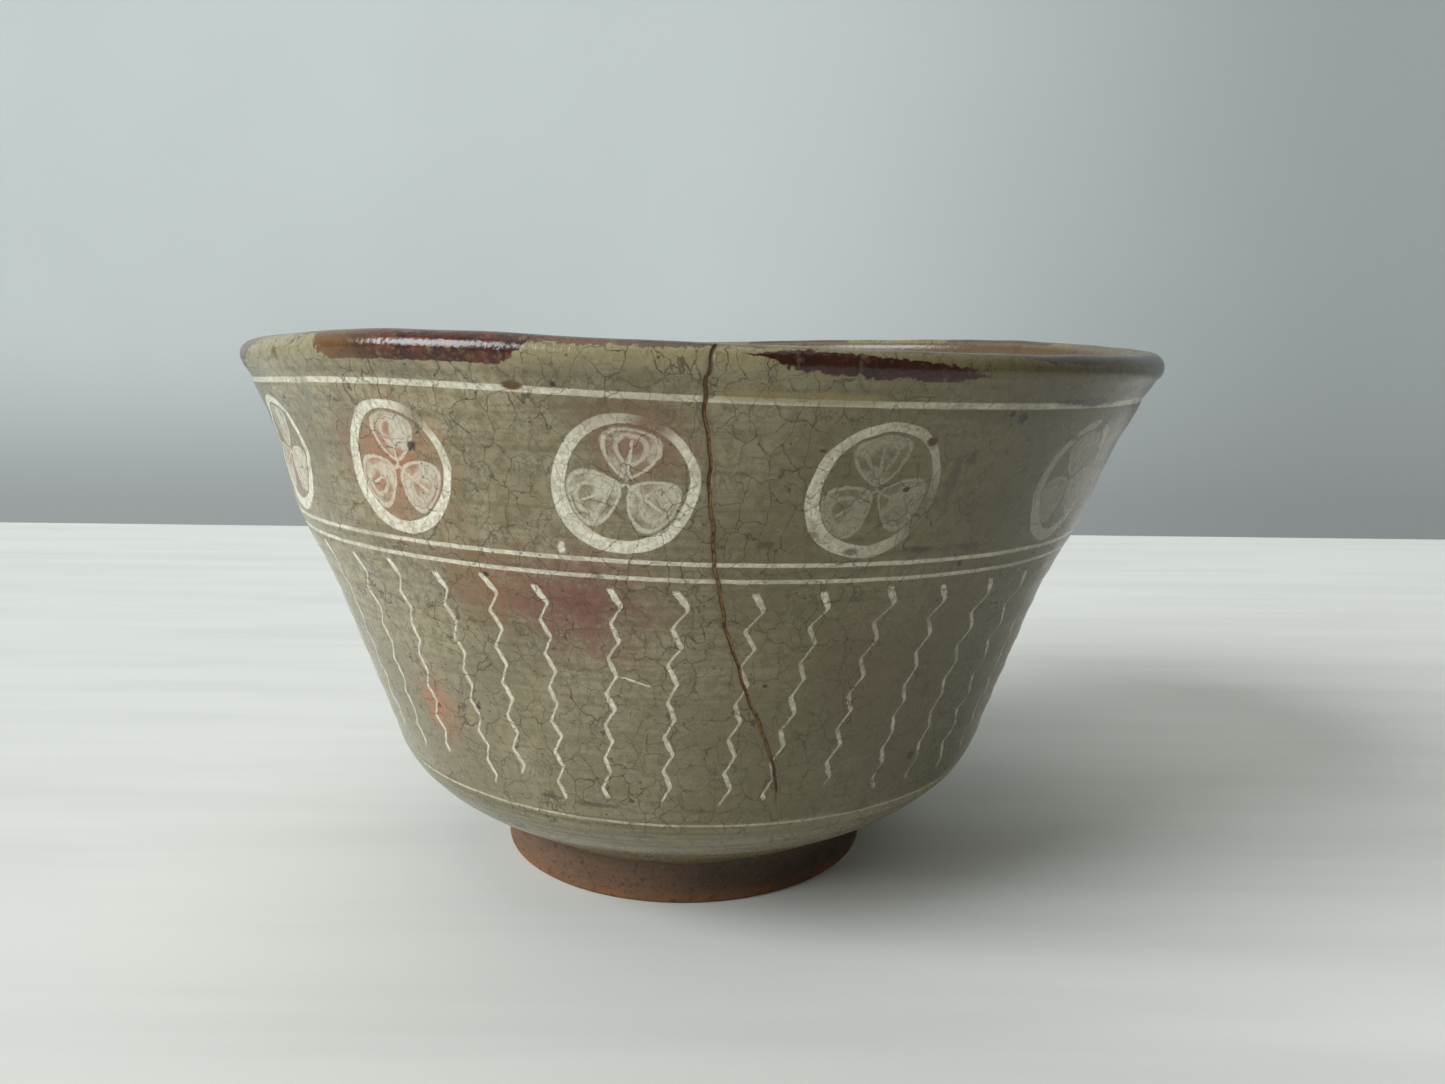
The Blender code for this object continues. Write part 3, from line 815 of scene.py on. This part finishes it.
# Open pits: turn, rise, half width in mm.
PITS = (
    (-118.7, 0.837, 0.62), (-139.6, 0.898, 0.36), (-111.9, 0.658, 0.4), (-128.0, 0.402, 0.3),
    (-119.4, 0.421, 0.34), (-56.4, 0.909, 0.62), (-58.0, 0.915, 0.34), (-67.4, 0.807, 0.42),
    (-51.4, 0.336, 0.62), (-56.8, 0.687, 0.34), (-102.0, 0.935, 0.3), (-79.0, 0.5, 0.24),
    (-180.0, 0.7, 0.5), (-226.0, 0.6, 0.45), (28.0, 0.85, 0.5), (70.0, 0.38, 0.45),
)

# Iron on the lip: start, end, depth below the lip in rises, taper at both ends, strength.
IRON_DABS = (
    (-130.5, -103.0, 0.042, 5.0, 4.0, 1.0),
    (-108.0, -87.0, 0.007, 3.0, 6.0, 0.85),
    (-172.0, -140.0, 0.036, 5.0, 11.0, 1.0),
    (-60.0, -26.5, 0.011, 7.0, 5.0, 0.9),
    (-206.0, -180.0, 0.038, 6.0, 8.0, 0.9),
    (-252.0, -226.0, 0.026, 8.0, 5.0, 0.88),
    (18.0, 44.0, 0.04, 5.0, 9.0, 0.9),
    (62.0, 84.0, 0.022, 6.0, 5.0, 0.85),
)


class BowlFinish:
    """The masks and colours of the bowl's surface, in millimetres and degrees."""

    def __init__(self, desk, colours):
        self.d = desk
        self.c = colours
        d = desk
        where = d.put("ShaderNodeTexCoord").outputs["Object"]
        self.place = d.stretch(where, (1000.0, 1000.0, 1000.0))
        split = d.put("ShaderNodeSeparateXYZ", {0: self.place})
        self.height = split.outputs[2]
        self.skin, self.turn, self.rise = d.map("turn")
        self.fine = d.noise(self.place, 1.7, 3.0)
        self.grain = d.noise(self.place, 5.5, 2.0)
        self.patch = d.noise(self.place, 0.33, 3.0, 0.55)
        self.drift = d.noise(self.place, 0.15, 2.0)
        self.broad = d.noise(self.place, 0.055, 3.0, 0.55)
        self.wobble = d.sway(self.fine, 0.55)
        self.ragged = d.add(d.sway(self.patch, 0.9), d.sway(self.fine, 0.8))
        # The inlay is crisp on the left and fades to the right of the crack.
        self.fade = d.ease(self.turn, -98.0, -55.0, 1.0, 0.62)

    def stroke(self, distance, half, soft=0.07):
        """Band of a half width around distance 0."""
        d = self.d
        return d.ease(d.size(distance), d.add(half, soft), d.take(half, soft))

    def mark(self, name):
        """Number of the nearest mark of a map, and the offsets from it across and along."""
        d = self.d
        _, across, along = d.map(name)
        number = d.math("FLOOR", d.math("DIVIDE", d.add(across, MAP_STEP / 2.0), MAP_STEP))
        return number, d.take(across, d.times(number, MAP_STEP)), along

    def spot(self, turn, rise, wide, high, soft=0.15):
        """Ragged spot at a turn and a rise, with its half width and half height."""
        d = self.d
        along = RISE_MM / high
        place = d.put("ShaderNodeVectorMath", {
            0: self.skin, 1: (1.0 / wide, along, 0.0), 2: (-turn / wide, -rise * along, 0.0),
        }, operation="MULTIPLY_ADD")
        reach = d.put("ShaderNodeVectorMath", {0: place.outputs[0]}, operation="LENGTH")
        return d.ease(d.add(reach.outputs["Value"], self.ragged), 1.0, soft)

    def spots(self, tone, table, soft):
        """Lay a table of tinted spots over a tone."""
        d = self.d
        for turn, rise, wide, high, strength, tint in table:
            mask = d.times(self.spot(turn, rise, wide, high, soft), strength)
            tone = d.mix(mask, tone, srgb(*tint))
        return tone

    def rings(self):
        """The inlaid rings."""
        d = self.d
        total = None
        shift = d.sway(self.patch, 0.2)
        worn = d.ease(self.drift, 0.32, 0.5, 0.62, 1.0)
        for level, half, strength in RINGS:
            gap = d.add(d.times(d.take(self.rise, level), RISE_MM), shift)
            width = d.add(half, d.times(self.wobble, 0.3))
            ring = d.times(self.stroke(gap, width), strength)
            total = ring if total is None else d.most(total, ring)
        return d.times(d.times(total, worn), self.fade)

    def lines(self):
        """The wavy lines combed down the wall, each begun with a heavier stroke."""
        d = self.d
        number, offset, along = self.mark("lines")
        luck = d.chance(number)
        luck_two = d.chance(d.add(number, 71.3))
        top = d.add(49.5, d.times(luck, 0.8))
        down = d.take(top, along)
        period = d.add(4.15, d.times(luck_two, 0.7))
        turn = d.times(d.math("DIVIDE", down, period), math.tau)
        swing = d.add(0.38, d.times(luck_two, 0.15))
        swing = d.times(swing, d.ease(down, 0.0, 15.0, 1.3, 0.85))
        wave = d.times(d.math("COSINE", turn), d.times(swing, -1.0))
        wave = d.take(wave, d.times(d.math("COSINE", d.times(turn, 3.0)), 0.05))
        drift = d.sway(self.drift, 1.1)
        gap = d.add(d.add(d.take(offset, wave), drift), d.times(self.wobble, 0.45))
        slant = d.ease(d.math("SINE", turn), -0.7, 0.8, 0.14, 0.29)
        head = d.ease(down, 2.4, 1.2, 0.0, 0.15)
        width = d.add(d.add(slant, head), d.times(self.wobble, 0.3))
        line = self.stroke(gap, width, 0.09)
        bottom = d.add(20.8, d.times(luck, 3.0))
        line = d.times(line, d.ease(down, -0.1, 0.25))
        line = d.times(line, d.ease(along, bottom, d.add(bottom, 0.8)))
        weak = d.ease(self.turn, -98.0, -58.0, 0.8, 0.34)
        held = d.ease(self.patch, 0.36, 0.58, weak, 1.0)
        return d.times(d.times(line, d.add(held, head)), d.times(self.fade, 0.92))

    def leaf(self, px, py, centre, long, wide):
        """Distance across a petal: 0 at its heart and 1 at its edge, narrow towards px 0."""
        d = self.d
        out = d.take(px, centre)
        a = d.times(out, 1.0 / long)
        b = d.math("DIVIDE", py, d.add(wide, d.times(out, wide * 0.14)))
        return d.reach(a, b)

    def roundels(self):
        """The stamped roundels: a white ring around three plain petals."""
        d = self.d
        number, x, along = self.mark("roundels")
        luck = d.chance(d.add(number, 5.5))
        warp = d.sway(self.drift, 0.9)
        reach = d.add(d.reach(x, along), warp)
        bearing = d.math("ARCTAN2", along, x)
        thick = d.add(0.62, d.times(d.math("SINE", d.add(bearing, 3.9)), 0.16))
        ring = self.stroke(d.take(reach, 6.8), d.add(thick, d.times(self.wobble, 0.35)))
        ring = d.times(ring, d.ease(self.drift, 0.3, 0.52, 0.72, 0.98))
        for turn, rise, wide, high in (
            (-117.0, 0.884, 3.0, 2.8), (-93.2, 0.892, 3.6, 3.0), (-64.6, 0.765, 4.2, 6.0),
            (-31.0, 0.8, 6.0, 9.0), (-199.0, 0.73, 3.0, 3.0), (40.0, 0.88, 3.0, 3.0),
        ):
            ring = d.times(ring, d.take(1.0, d.times(self.spot(turn, rise, wide, high), 0.9)))
        ring = d.times(ring, d.ease(self.turn, -78.0, -60.0, 1.0, 0.46))

        tilt = d.sway(luck, 0.3)
        third = math.tau / 3.0
        part = d.times(d.add(d.take(bearing, math.pi / 2.0), tilt), 1.0 / third)
        part = d.take(part, d.math("ROUND", part))
        swing = d.times(part, third)
        px = d.add(d.times(reach, d.math("COSINE", swing)), d.times(self.wobble, 0.5))
        py = d.add(d.times(reach, d.math("SINE", swing)), d.times(self.wobble, 0.8))
        outline = self.leaf(px, py, 3.3, 2.7, 2.8)
        edge = d.ease(d.size(d.take(outline, 0.95)), 0.12, 0.04)
        inner = self.leaf(px, py, 3.7, 1.6, 1.65)
        fold = d.times(d.ease(d.size(d.take(inner, 0.92)), 0.24, 0.07), 0.85)
        fill = d.ease(self.patch, 0.38, 0.58, 0.1, 0.95)
        fill = d.times(d.ease(outline, 0.97, 0.8), fill)
        vein = d.times(self.stroke(py, 0.16), d.ease(px, 5.2, 4.4))
        stamp = d.most(d.most(edge, fold), d.most(fill, vein))
        stamp = d.times(stamp, d.ease(self.fine, 0.3, 0.56, 0.5, 1.0))
        stamp = d.times(stamp, d.ease(reach, 6.1, 5.7))
        stamp = d.times(stamp, d.ease(self.turn, -96.0, -66.0, 0.78, 0.34))
        return d.times(d.most(ring, stamp), self.fade)

    def scratches(self):
        """A white fleck and a white scratch on the front."""
        d = self.d
        across = d.times(d.take(self.turn, -95.25), 0.93)
        along = d.add(d.times(d.take(self.rise, 0.5035), 86.0), d.times(across, 0.34))
        along = d.add(along, d.times(self.wobble, 0.7))
        mark = d.times(self.stroke(along, 0.13), d.ease(d.size(across), 1.9, 1.5))
        fleck = self.spot(-102.2, 0.711, 0.55, 0.95, 0.5)
        return d.times(d.most(mark, fleck), 0.85)

    def crackle(self):
        """Fine crackle of the glaze: a coarse net and a finer one, both broken."""
        d = self.d
        tall = d.stretch(self.place, (1.0, 1.0, 0.74))
        bent = d.push(d.push(tall, 0.35, 2.4), 1.5, 0.55)
        coarse = d.ease(d.net(bent, 0.36), 0.026, 0.007)
        fine = d.ease(d.net(bent, 0.8), 0.042, 0.012)
        here = d.ease(self.drift, 0.34, 0.58, 0.4, 1.0)
        there = d.ease(self.patch, 0.42, 0.6, 0.08, 0.62)
        return d.most(d.times(coarse, here), d.times(fine, there))

    def pits(self):
        """Dark pits and specks."""
        d = self.d
        cells = d.put(
            "ShaderNodeTexVoronoi", {"Vector": self.place, "Scale": 0.95}, feature="F1"
        )
        luck = d.put("ShaderNodeSeparateXYZ", {0: cells.outputs["Color"]}).outputs[0]
        crowd = d.ease(self.rise, 0.945, 0.97, 0.46, 0.28)
        reach = d.ease(luck, crowd, 1.0, 0.03, 0.155)
        specks = d.ease(d.take(cells.outputs["Distance"], reach), 0.02, -0.02)
        specks = d.times(d.times(specks, d.math("GREATER_THAN", luck, crowd)), 0.72)
        pepper = d.ease(self.grain, 0.64, 0.71, 0.0, 0.55)
        total = d.most(specks, pepper)
        for turn, rise, size in PITS:
            total = d.most(total, self.spot(turn, rise, size * 1.35, size * 1.15, 0.6))
        return total

    def iron_wash(self):
        """Red-brown iron wash along the lip, in dabs."""
        d = self.d
        rough = d.noise(self.place, 0.5, 4.0, 0.62)
        ragged = d.sway(rough, 0.026)
        edge = d.add(d.add(self.rise, ragged), d.sway(self.fine, 0.012))
        along = d.add(self.turn, d.sway(rough, 5.0))
        # A slanting stroke to the right of the crack.
        middle = d.take(0.9885, d.times(d.add(self.turn, 85.0), 0.00088))
        window = d.window(along, -86.5, -80.0, -69.0, -62.5)
        gap = d.size(d.take(edge, middle))
        total = d.ease(d.take(gap, d.times(window, 0.0135)), 0.0018, -0.0018)
        total = d.times(total, d.math("GREATER_THAN", window, 0.02))
        for start, end, deep, first, last, strength in IRON_DABS:
            window = d.window(along, start, start + first, end - last, end)
            low = d.take(1.0, d.times(window, deep))
            dab = d.times(d.ease(d.take(edge, low), -0.002, 0.002), d.ease(window, 0.0, 0.15))
            total = d.most(total, d.times(dab, strength))
        thin = d.ease(rough, 0.3, 0.44, 0.72, 1.0)
        return d.times(d.times(total, thin), d.ease(self.rise, 1.045, 1.025))

    def lip_wear(self):
        """Thin glaze on top of the lip, where the body shows brown."""
        d = self.d
        edge = d.add(self.rise, d.sway(self.patch, 0.018))
        top = d.window(edge, 0.999, 1.004, 1.024, 1.034)
        top = d.times(top, d.ease(self.drift, 0.38, 0.6, 0.3, 0.95))
        run = d.put("ShaderNodeCombineXYZ", {0: self.turn, 1: d.times(self.rise, 9.0)})
        dashes = d.noise(run.outputs[0], 0.9, 2.0, 0.6)
        strokes = d.times(d.ease(dashes, 0.6, 0.68), d.ease(edge, 0.975, 0.99))
        return d.most(top, d.times(strokes, 0.8))

    def clay_mask(self):
        """Bare clay of the foot below the wandering edge of the glaze, and the thin glaze there."""
        d = self.d
        wander = d.sway(self.drift, 0.9)
        wander = d.add(wander, d.sway(self.fine, 0.25))
        lean = d.times(d.math("COSINE", d.times(self.turn, math.pi / 180.0)), -0.28)
        edge = d.add(d.add(6.2, lean), wander)
        above = d.take(self.height, edge)
        outside = d.math("LESS_THAN", self.rise, 0.2)
        bare = d.times(d.ease(above, 0.1, -0.06), outside)
        rim = d.times(d.window(above, -0.1, 0.1, 0.25, 1.0), outside)
        return bare, rim

    def clay(self):
        """Colour of the bare clay, with painted shade on the foot's right side."""
        d = self.d
        c = self.c
        streak = d.noise(d.stretch(self.place, (0.25, 0.25, 1.6)), 1.0, 3.0)
        burnt = d.times(d.ease(self.height, 2.4, 0.5), d.ease(self.patch, 0.3, 0.6, 0.35, 1.0))
        burnt = d.times(burnt, d.ease(self.height, -0.5, 0.0))
        return d.coats(
            c.clay,
            (d.ease(self.broad, 0.42, 0.6), c.clay_dark_and_shade),
            # Painted shade: the foot darkens towards its right side, deepest at the far right.
            (d.ease(self.turn, -125.0, -65.0, 0.0, 0.75), c.clay_dark_and_shade),
            (d.ease(self.turn, -80.0, -45.0, 0.0, 0.6), (38, 24, 14)),
            (d.ease(streak, 0.45, 0.7, 0.0, 0.45), (84, 62, 46)),
            (d.ease(self.height, 3.6, 5.6, 0.0, 0.55), (84, 68, 54)),
            (d.times(burnt, 0.6), (132, 84, 40)),
            (d.ease(self.grain, 0.62, 0.72, 0.0, 0.5), (150, 124, 100)),
            (d.ease(self.fine, 0.54, 0.7, 0.0, 0.65), (52, 38, 28)),
        )

    def glaze(self):
        """Colour of the glaze outside, before the inlay, with painted shade towards the bowl's right
        side.
        """
        d = self.d
        c = self.c
        cloud = d.noise(self.place, 0.9, 4.0, 0.65)
        turned = d.noise(d.stretch(self.place, (0.05, 0.05, 1.5)), 1.0, 3.0)
        edge = d.add(self.rise, d.sway(self.drift, 0.02))
        # Painted shade: the glaze is darkened across the front towards the bowl's right side.
        shade = d.window(self.turn, -112.0, -46.0, -20.0, 50.0)
        # Painted shade, deeper still on the far right, most of all above the top ring.
        far = d.window(self.turn, -84.0, -38.0, -10.0, 30.0)
        far = d.times(far, d.ease(self.rise, 0.86, 0.95, 0.28, 0.55))
        hip = d.ease(self.rise, 0.265, 0.235, 0.0, 0.6)
        streaks = d.times(hip, d.ease(turned, 0.42, 0.58))
        return d.coats(
            c.glaze,
            (d.ease(self.broad, 0.36, 0.64), c.glaze_deep),
            (d.ease(self.patch, 0.42, 0.7, 0.0, 0.45), (152, 145, 122)),
            (d.ease(cloud, 0.42, 0.64, 0.0, 0.62), (108, 99, 70)),
            (d.ease(turned, 0.46, 0.66, 0.0, 0.42), (108, 95, 66)),
            (d.ease(self.rise, 0.62, 0.45, 0.0, 0.35), (134, 126, 98)),
            (d.ease(edge, 0.94, 0.985, 0.0, 0.7), (154, 144, 108)),
            (d.times(shade, 0.8), (86, 78, 44)),
            (far, (50, 44, 20)),
            (hip, (134, 126, 94)),
            (d.times(streaks, 0.8), (96, 84, 56)),
        )

    def inside(self):
        """Colour of the inside."""
        d = self.d
        c = self.c
        run = d.put("ShaderNodeCombineXYZ", {0: self.turn, 1: d.times(self.rise, 14.0)})
        streak = d.noise(run.outputs[0], 0.45, 3.0, 0.6)
        down = d.ease(self.rise, 1.3, 1.03, 0.0, 0.75)
        return d.coats(
            c.inside,
            (d.ease(self.broad, 0.38, 0.66, 0.0, 0.75), c.ochre),
            (d.ease(self.patch, 0.45, 0.65, 0.0, 0.5), (140, 124, 84)),
            (d.times(d.ease(streak, 0.54, 0.7), down), (100, 72, 42)),
            (d.ease(self.rise, 1.13, 1.05, 0.0, 0.9), (80, 56, 24)),
            (d.ease(self.rise, 1.62, 1.8, 0.0, 0.35), (120, 112, 84)),
        )

    def rust(self, iron):
        """Colour of the iron wash: thinner and browner where its mask is weak."""
        d = self.d
        thin = d.times(d.ease(iron, 0.85, 0.25), 0.7)
        return d.coats(
            self.c.iron,
            (d.ease(self.patch, 0.38, 0.6), (52, 18, 10)),
            (d.ease(self.fine, 0.52, 0.66, 0.0, 0.75), (112, 74, 40)),
            (d.ease(self.turn, -118.0, -127.0, 0.0, 0.8), (110, 76, 28)),
            (d.ease(self.turn, -100.0, -84.0, 0.0, 0.8), (42, 10, 2)),
            (d.ease(self.turn, -64.0, -56.0, 0.0, 0.8), (56, 44, 38)),
            (d.ease(self.turn, -144.0, -149.0, 0.0, 0.8), (74, 46, 44)),
            (thin, (118, 82, 36)),
        )


class TEABOWL_OT_glaze(bpy.types.Operator):
    """Inlay, glaze and age the bowl"""

    bl_idname = "teabowl.glaze"
    bl_label = "Glaze the bowl"

    def execute(self, context):
        c = context.scene.tea_bowl_colours
        material, d = new_material("crackled_glaze")
        f = BowlFinish(d, c)

        # Glaze, blooms and inlay.
        tone = f.spots(f.glaze(), BLUSHES, -0.1)
        slip = d.most(d.most(f.rings(), f.lines()), d.most(f.roundels(), f.scratches()))
        white = d.mix(d.ease(f.fine, 0.35, 0.65), c.slip, srgb(206, 197, 172))
        tone = d.mix(d.times(slip, 0.95), tone, white)
        tone = d.mix(d.ease(f.rise, 1.02, 1.045), tone, f.inside())

        # Crackle, dirt and iron.
        net = f.crackle()
        tone = d.mix(d.times(net, d.ease(slip, 0.0, 1.0, 0.78, 0.6)), tone, c.crackle)
        tone = f.spots(tone, STAINS, 0.45)
        hair = d.add(d.times(d.add(f.turn, 120.8), 1.05), d.times(f.wobble, 1.4))
        ends = d.ease(d.size(d.take(f.rise, 0.932)), 0.036, 0.026)
        hair = d.times(f.stroke(hair, 0.08, 0.05), ends)
        iron = f.iron_wash()
        tone = d.coats(
            tone,
            (d.times(hair, 0.8), c.dark),
            (d.times(f.lip_wear(), 0.85), (84, 58, 30)),
        )
        tone = d.mix(iron, tone, f.rust(iron))
        tone = d.mix(d.times(f.pits(), 0.88), tone, c.dark)

        # Bare clay of the foot.
        bare, rim = f.clay_mask()
        tone = d.mix(d.times(rim, 0.6), tone, srgb(92, 72, 42))
        tone = d.mix(bare, tone, f.clay())

        # The crack: an ochre filling between thin dark edges.
        crack = d.put("ShaderNodeAttribute", attribute_name="crack", attribute_type="GEOMETRY")
        gap = d.add(crack.outputs["Fac"], d.times(f.wobble, 0.12))
        halo = d.ease(d.size(gap), 0.9, 0.2, 0.0, 0.28)
        tone = d.mix(halo, tone, srgb(96, 80, 50))
        shade = f.stroke(d.add(gap, d.ease(f.drift, 0.4, 0.6, 0.07, -0.07)), 0.21, 0.05)
        tone = d.mix(d.times(shade, 0.88), tone, c.dark)
        filled = f.stroke(gap, d.add(0.115, d.times(f.wobble, 0.12)), 0.05)
        earth = d.coats(
            c.stain,
            (d.ease(f.fine, 0.4, 0.66), (92, 64, 32)),
            (d.ease(f.rise, 0.87, 0.95, 0.0, 0.7), (76, 50, 22)),
            (d.ease(f.rise, 0.4, 0.3, 0.0, 0.6), (66, 52, 30)),
        )
        tone = d.mix(d.times(filled, 0.92), tone, earth)
        opened = d.most(shade, filled)

        gloss = d.add(0.25, d.times(bare, 0.55))
        gloss = d.add(gloss, d.sway(f.fine, 0.16))
        gloss = d.add(gloss, d.sway(f.patch, 0.16))
        gloss = d.add(gloss, d.add(d.times(opened, 0.3), d.times(iron, -0.05)))

        relief = d.times(slip, -0.3)
        relief = d.add(relief, d.times(f.fine, d.ease(f.rise, 0.955, 0.985, 0.35, 0.95)))
        relief = d.add(relief, d.times(f.grain, d.add(0.12, d.times(bare, 1.4))))
        relief = d.add(relief, d.times(f.patch, 0.9))
        bump = d.put(
            "ShaderNodeBump", {"Strength": 0.5, "Distance": 0.00013, "Height": relief}
        )
        d.surface({
            "Base Color": tone, "Roughness": gloss, "Normal": bump.outputs[0], "IOR": 1.5,
        })
        bowl = bpy.data.objects["glazed_bowl"]
        bowl.data.materials.clear()
        bowl.data.materials.append(material)
        return {"FINISHED"}


# Stage


def stage_material(name, tone, grain, painted_shade=False):
    """Pale, slightly uneven surface; on the wall, painted shade darkens it towards the right and the
    table.
    """
    material, d = new_material(name)
    place = d.put("ShaderNodeTexCoord").outputs["Object"]
    streak = d.noise(d.stretch(place, grain), 1.0, 3.0, 0.6)
    darker = tuple(v * 0.93 for v in tone)
    shown = d.mix(d.ease(streak, 0.35, 0.7), tuple(tone), darker)
    if painted_shade:
        # Painted shade: darker towards the right and down towards the table.
        split = d.put("ShaderNodeSeparateXYZ", {0: place})
        right = d.ease(split.outputs[0], -0.02, 0.36, 0.0, 0.85)
        low = d.ease(split.outputs[2], 0.09, -0.03, 0.0, 0.62)
        shown = d.mix(right, shown, tuple(v * 0.5 for v in tone))
        shown = d.mix(low, shown, tuple(v * 0.58 for v in tone))
    d.surface({"Base Color": shown, "Roughness": 0.75, "Specular IOR Level": 0.15})
    return material


def stage_plane(name, corner, opposite, material):
    """Flat sheet between two corners."""
    bpy.ops.object.select_all(action="DESELECT")
    bpy.ops.mesh.primitive_plane_add(size=1.0, location=(0.0, 0.0, 0.0))
    sheet = bpy.context.object
    sheet.name = name
    low = Vector(corner)
    high = Vector(opposite)
    upright = abs(high.y - low.y) < 1e-6
    for vertex in sheet.data.vertices:
        u = vertex.co.x + 0.5
        v = vertex.co.y + 0.5
        if upright:
            vertex.co = (low.x + (high.x - low.x) * u, low.y, low.z + (high.z - low.z) * v)
        else:
            vertex.co = (low.x + (high.x - low.x) * u, low.y + (high.y - low.y) * v, low.z)
    sheet.data.materials.append(material)


def lamp(name, kind, place, size, power, tint):
    """Soft light that looks at the bowl: a sun by its angle, an area lamp by its width."""
    data = bpy.data.lights.new(name, kind)
    if kind == "SUN":
        data.angle = size
    else:
        data.size = size
    data.energy = power
    data.color = tint
    made = bpy.data.objects.new(name, data)
    bpy.context.scene.collection.objects.link(made)
    made.location = place
    aim = Vector((0.0, 0.0, 0.04)) - Vector(place)
    made.rotation_mode = "QUATERNION"
    made.rotation_quaternion = aim.to_track_quat("-Z", "Y")


class TEABOWL_OT_stage(bpy.types.Operator):
    """Set the table, the wall behind it, the light and the camera"""

    bl_idname = "teabowl.stage"
    bl_label = "Set the stage"

    def execute(self, context):
        scene = context.scene
        colours = scene.tea_bowl_colours
        table = stage_material("pale_table", colours.floor, (6.0, 60.0, 1.0))
        wall = stage_material("pale_wall", colours.backdrop, (3.0, 3.0, 3.0), painted_shade=True)
        stage_plane("table", (-3.0, -3.0, 0.0), (3.0, 0.303, 0.0), table)
        stage_plane("wall", (-3.0, 0.42, -1.0), (3.0, 0.42, 2.5), wall)

        wide = math.radians(36.0)
        lamp("window_light", "SUN", (-1.35, -0.62, 0.86), wide, 3.2, (0.91, 0.97, 1.0))
        lamp("ceiling_light", "AREA", (-0.15, -0.1, 1.2), 0.9, 2.7, (1.0, 0.99, 0.96))

        world = bpy.data.worlds.new("room")
        scene.world = world
        world.use_nodes = True
        background = world.node_tree.nodes["Background"]
        background.inputs["Color"].default_value = srgb(222, 219, 208) + (1.0,)
        background.inputs["Strength"].default_value = 0.27

        data = bpy.data.cameras.new("camera")
        data.sensor_width = 36.0
        data.lens = CAMERA_LENS
        data.clip_start = 0.01
        data.clip_end = 20.0
        camera = bpy.data.objects.new("camera", data)
        scene.collection.objects.link(camera)
        tilt = Matrix.Rotation(math.radians(90.0 - CAMERA_DOWN_DEG), 4, "X")
        roll = Matrix.Rotation(CAMERA_ROLL, 4, "Z")
        camera.matrix_world = Matrix.Translation(CAMERA_PLACE) @ tilt @ roll
        scene.camera = camera
        scene.view_settings.view_transform = "Standard"
        return {"FINISHED"}


class TEABOWL_PT_panel(bpy.types.Panel):
    """Sizes, colours and steps of the tea bowl"""

    bl_idname = "TEABOWL_PT_panel"
    bl_label = "Tea Bowl"
    bl_space_type = "VIEW_3D"
    bl_region_type = "UI"
    bl_category = "Tea Bowl"

    def draw(self, context):
        layout = self.layout
        for step in STEPS:
            layout.operator(step.bl_idname)
        for group in (context.scene.tea_bowl_sizes, context.scene.tea_bowl_colours):
            box = layout.box()
            for name in group.bl_rna.properties.keys():
                if name not in {"rna_type", "name"}:
                    box.prop(group, name)


STEPS = (TEABOWL_OT_throw, TEABOWL_OT_glaze, TEABOWL_OT_stage)
CLASSES = (TeaBowlSizes, TeaBowlColours) + STEPS + (TEABOWL_PT_panel,)


def register():
    for item in CLASSES:
        bpy.utils.register_class(item)
    bpy.types.Scene.tea_bowl_sizes = bpy.props.PointerProperty(type=TeaBowlSizes)
    bpy.types.Scene.tea_bowl_colours = bpy.props.PointerProperty(type=TeaBowlColours)


def unregister():
    del bpy.types.Scene.tea_bowl_colours
    del bpy.types.Scene.tea_bowl_sizes
    for item in reversed(CLASSES):
        bpy.utils.unregister_class(item)


def main():
    register()
    bpy.ops.teabowl.throw()
    bpy.ops.teabowl.glaze()
    bpy.ops.teabowl.stage()


if __name__ == "__main__":
    main()
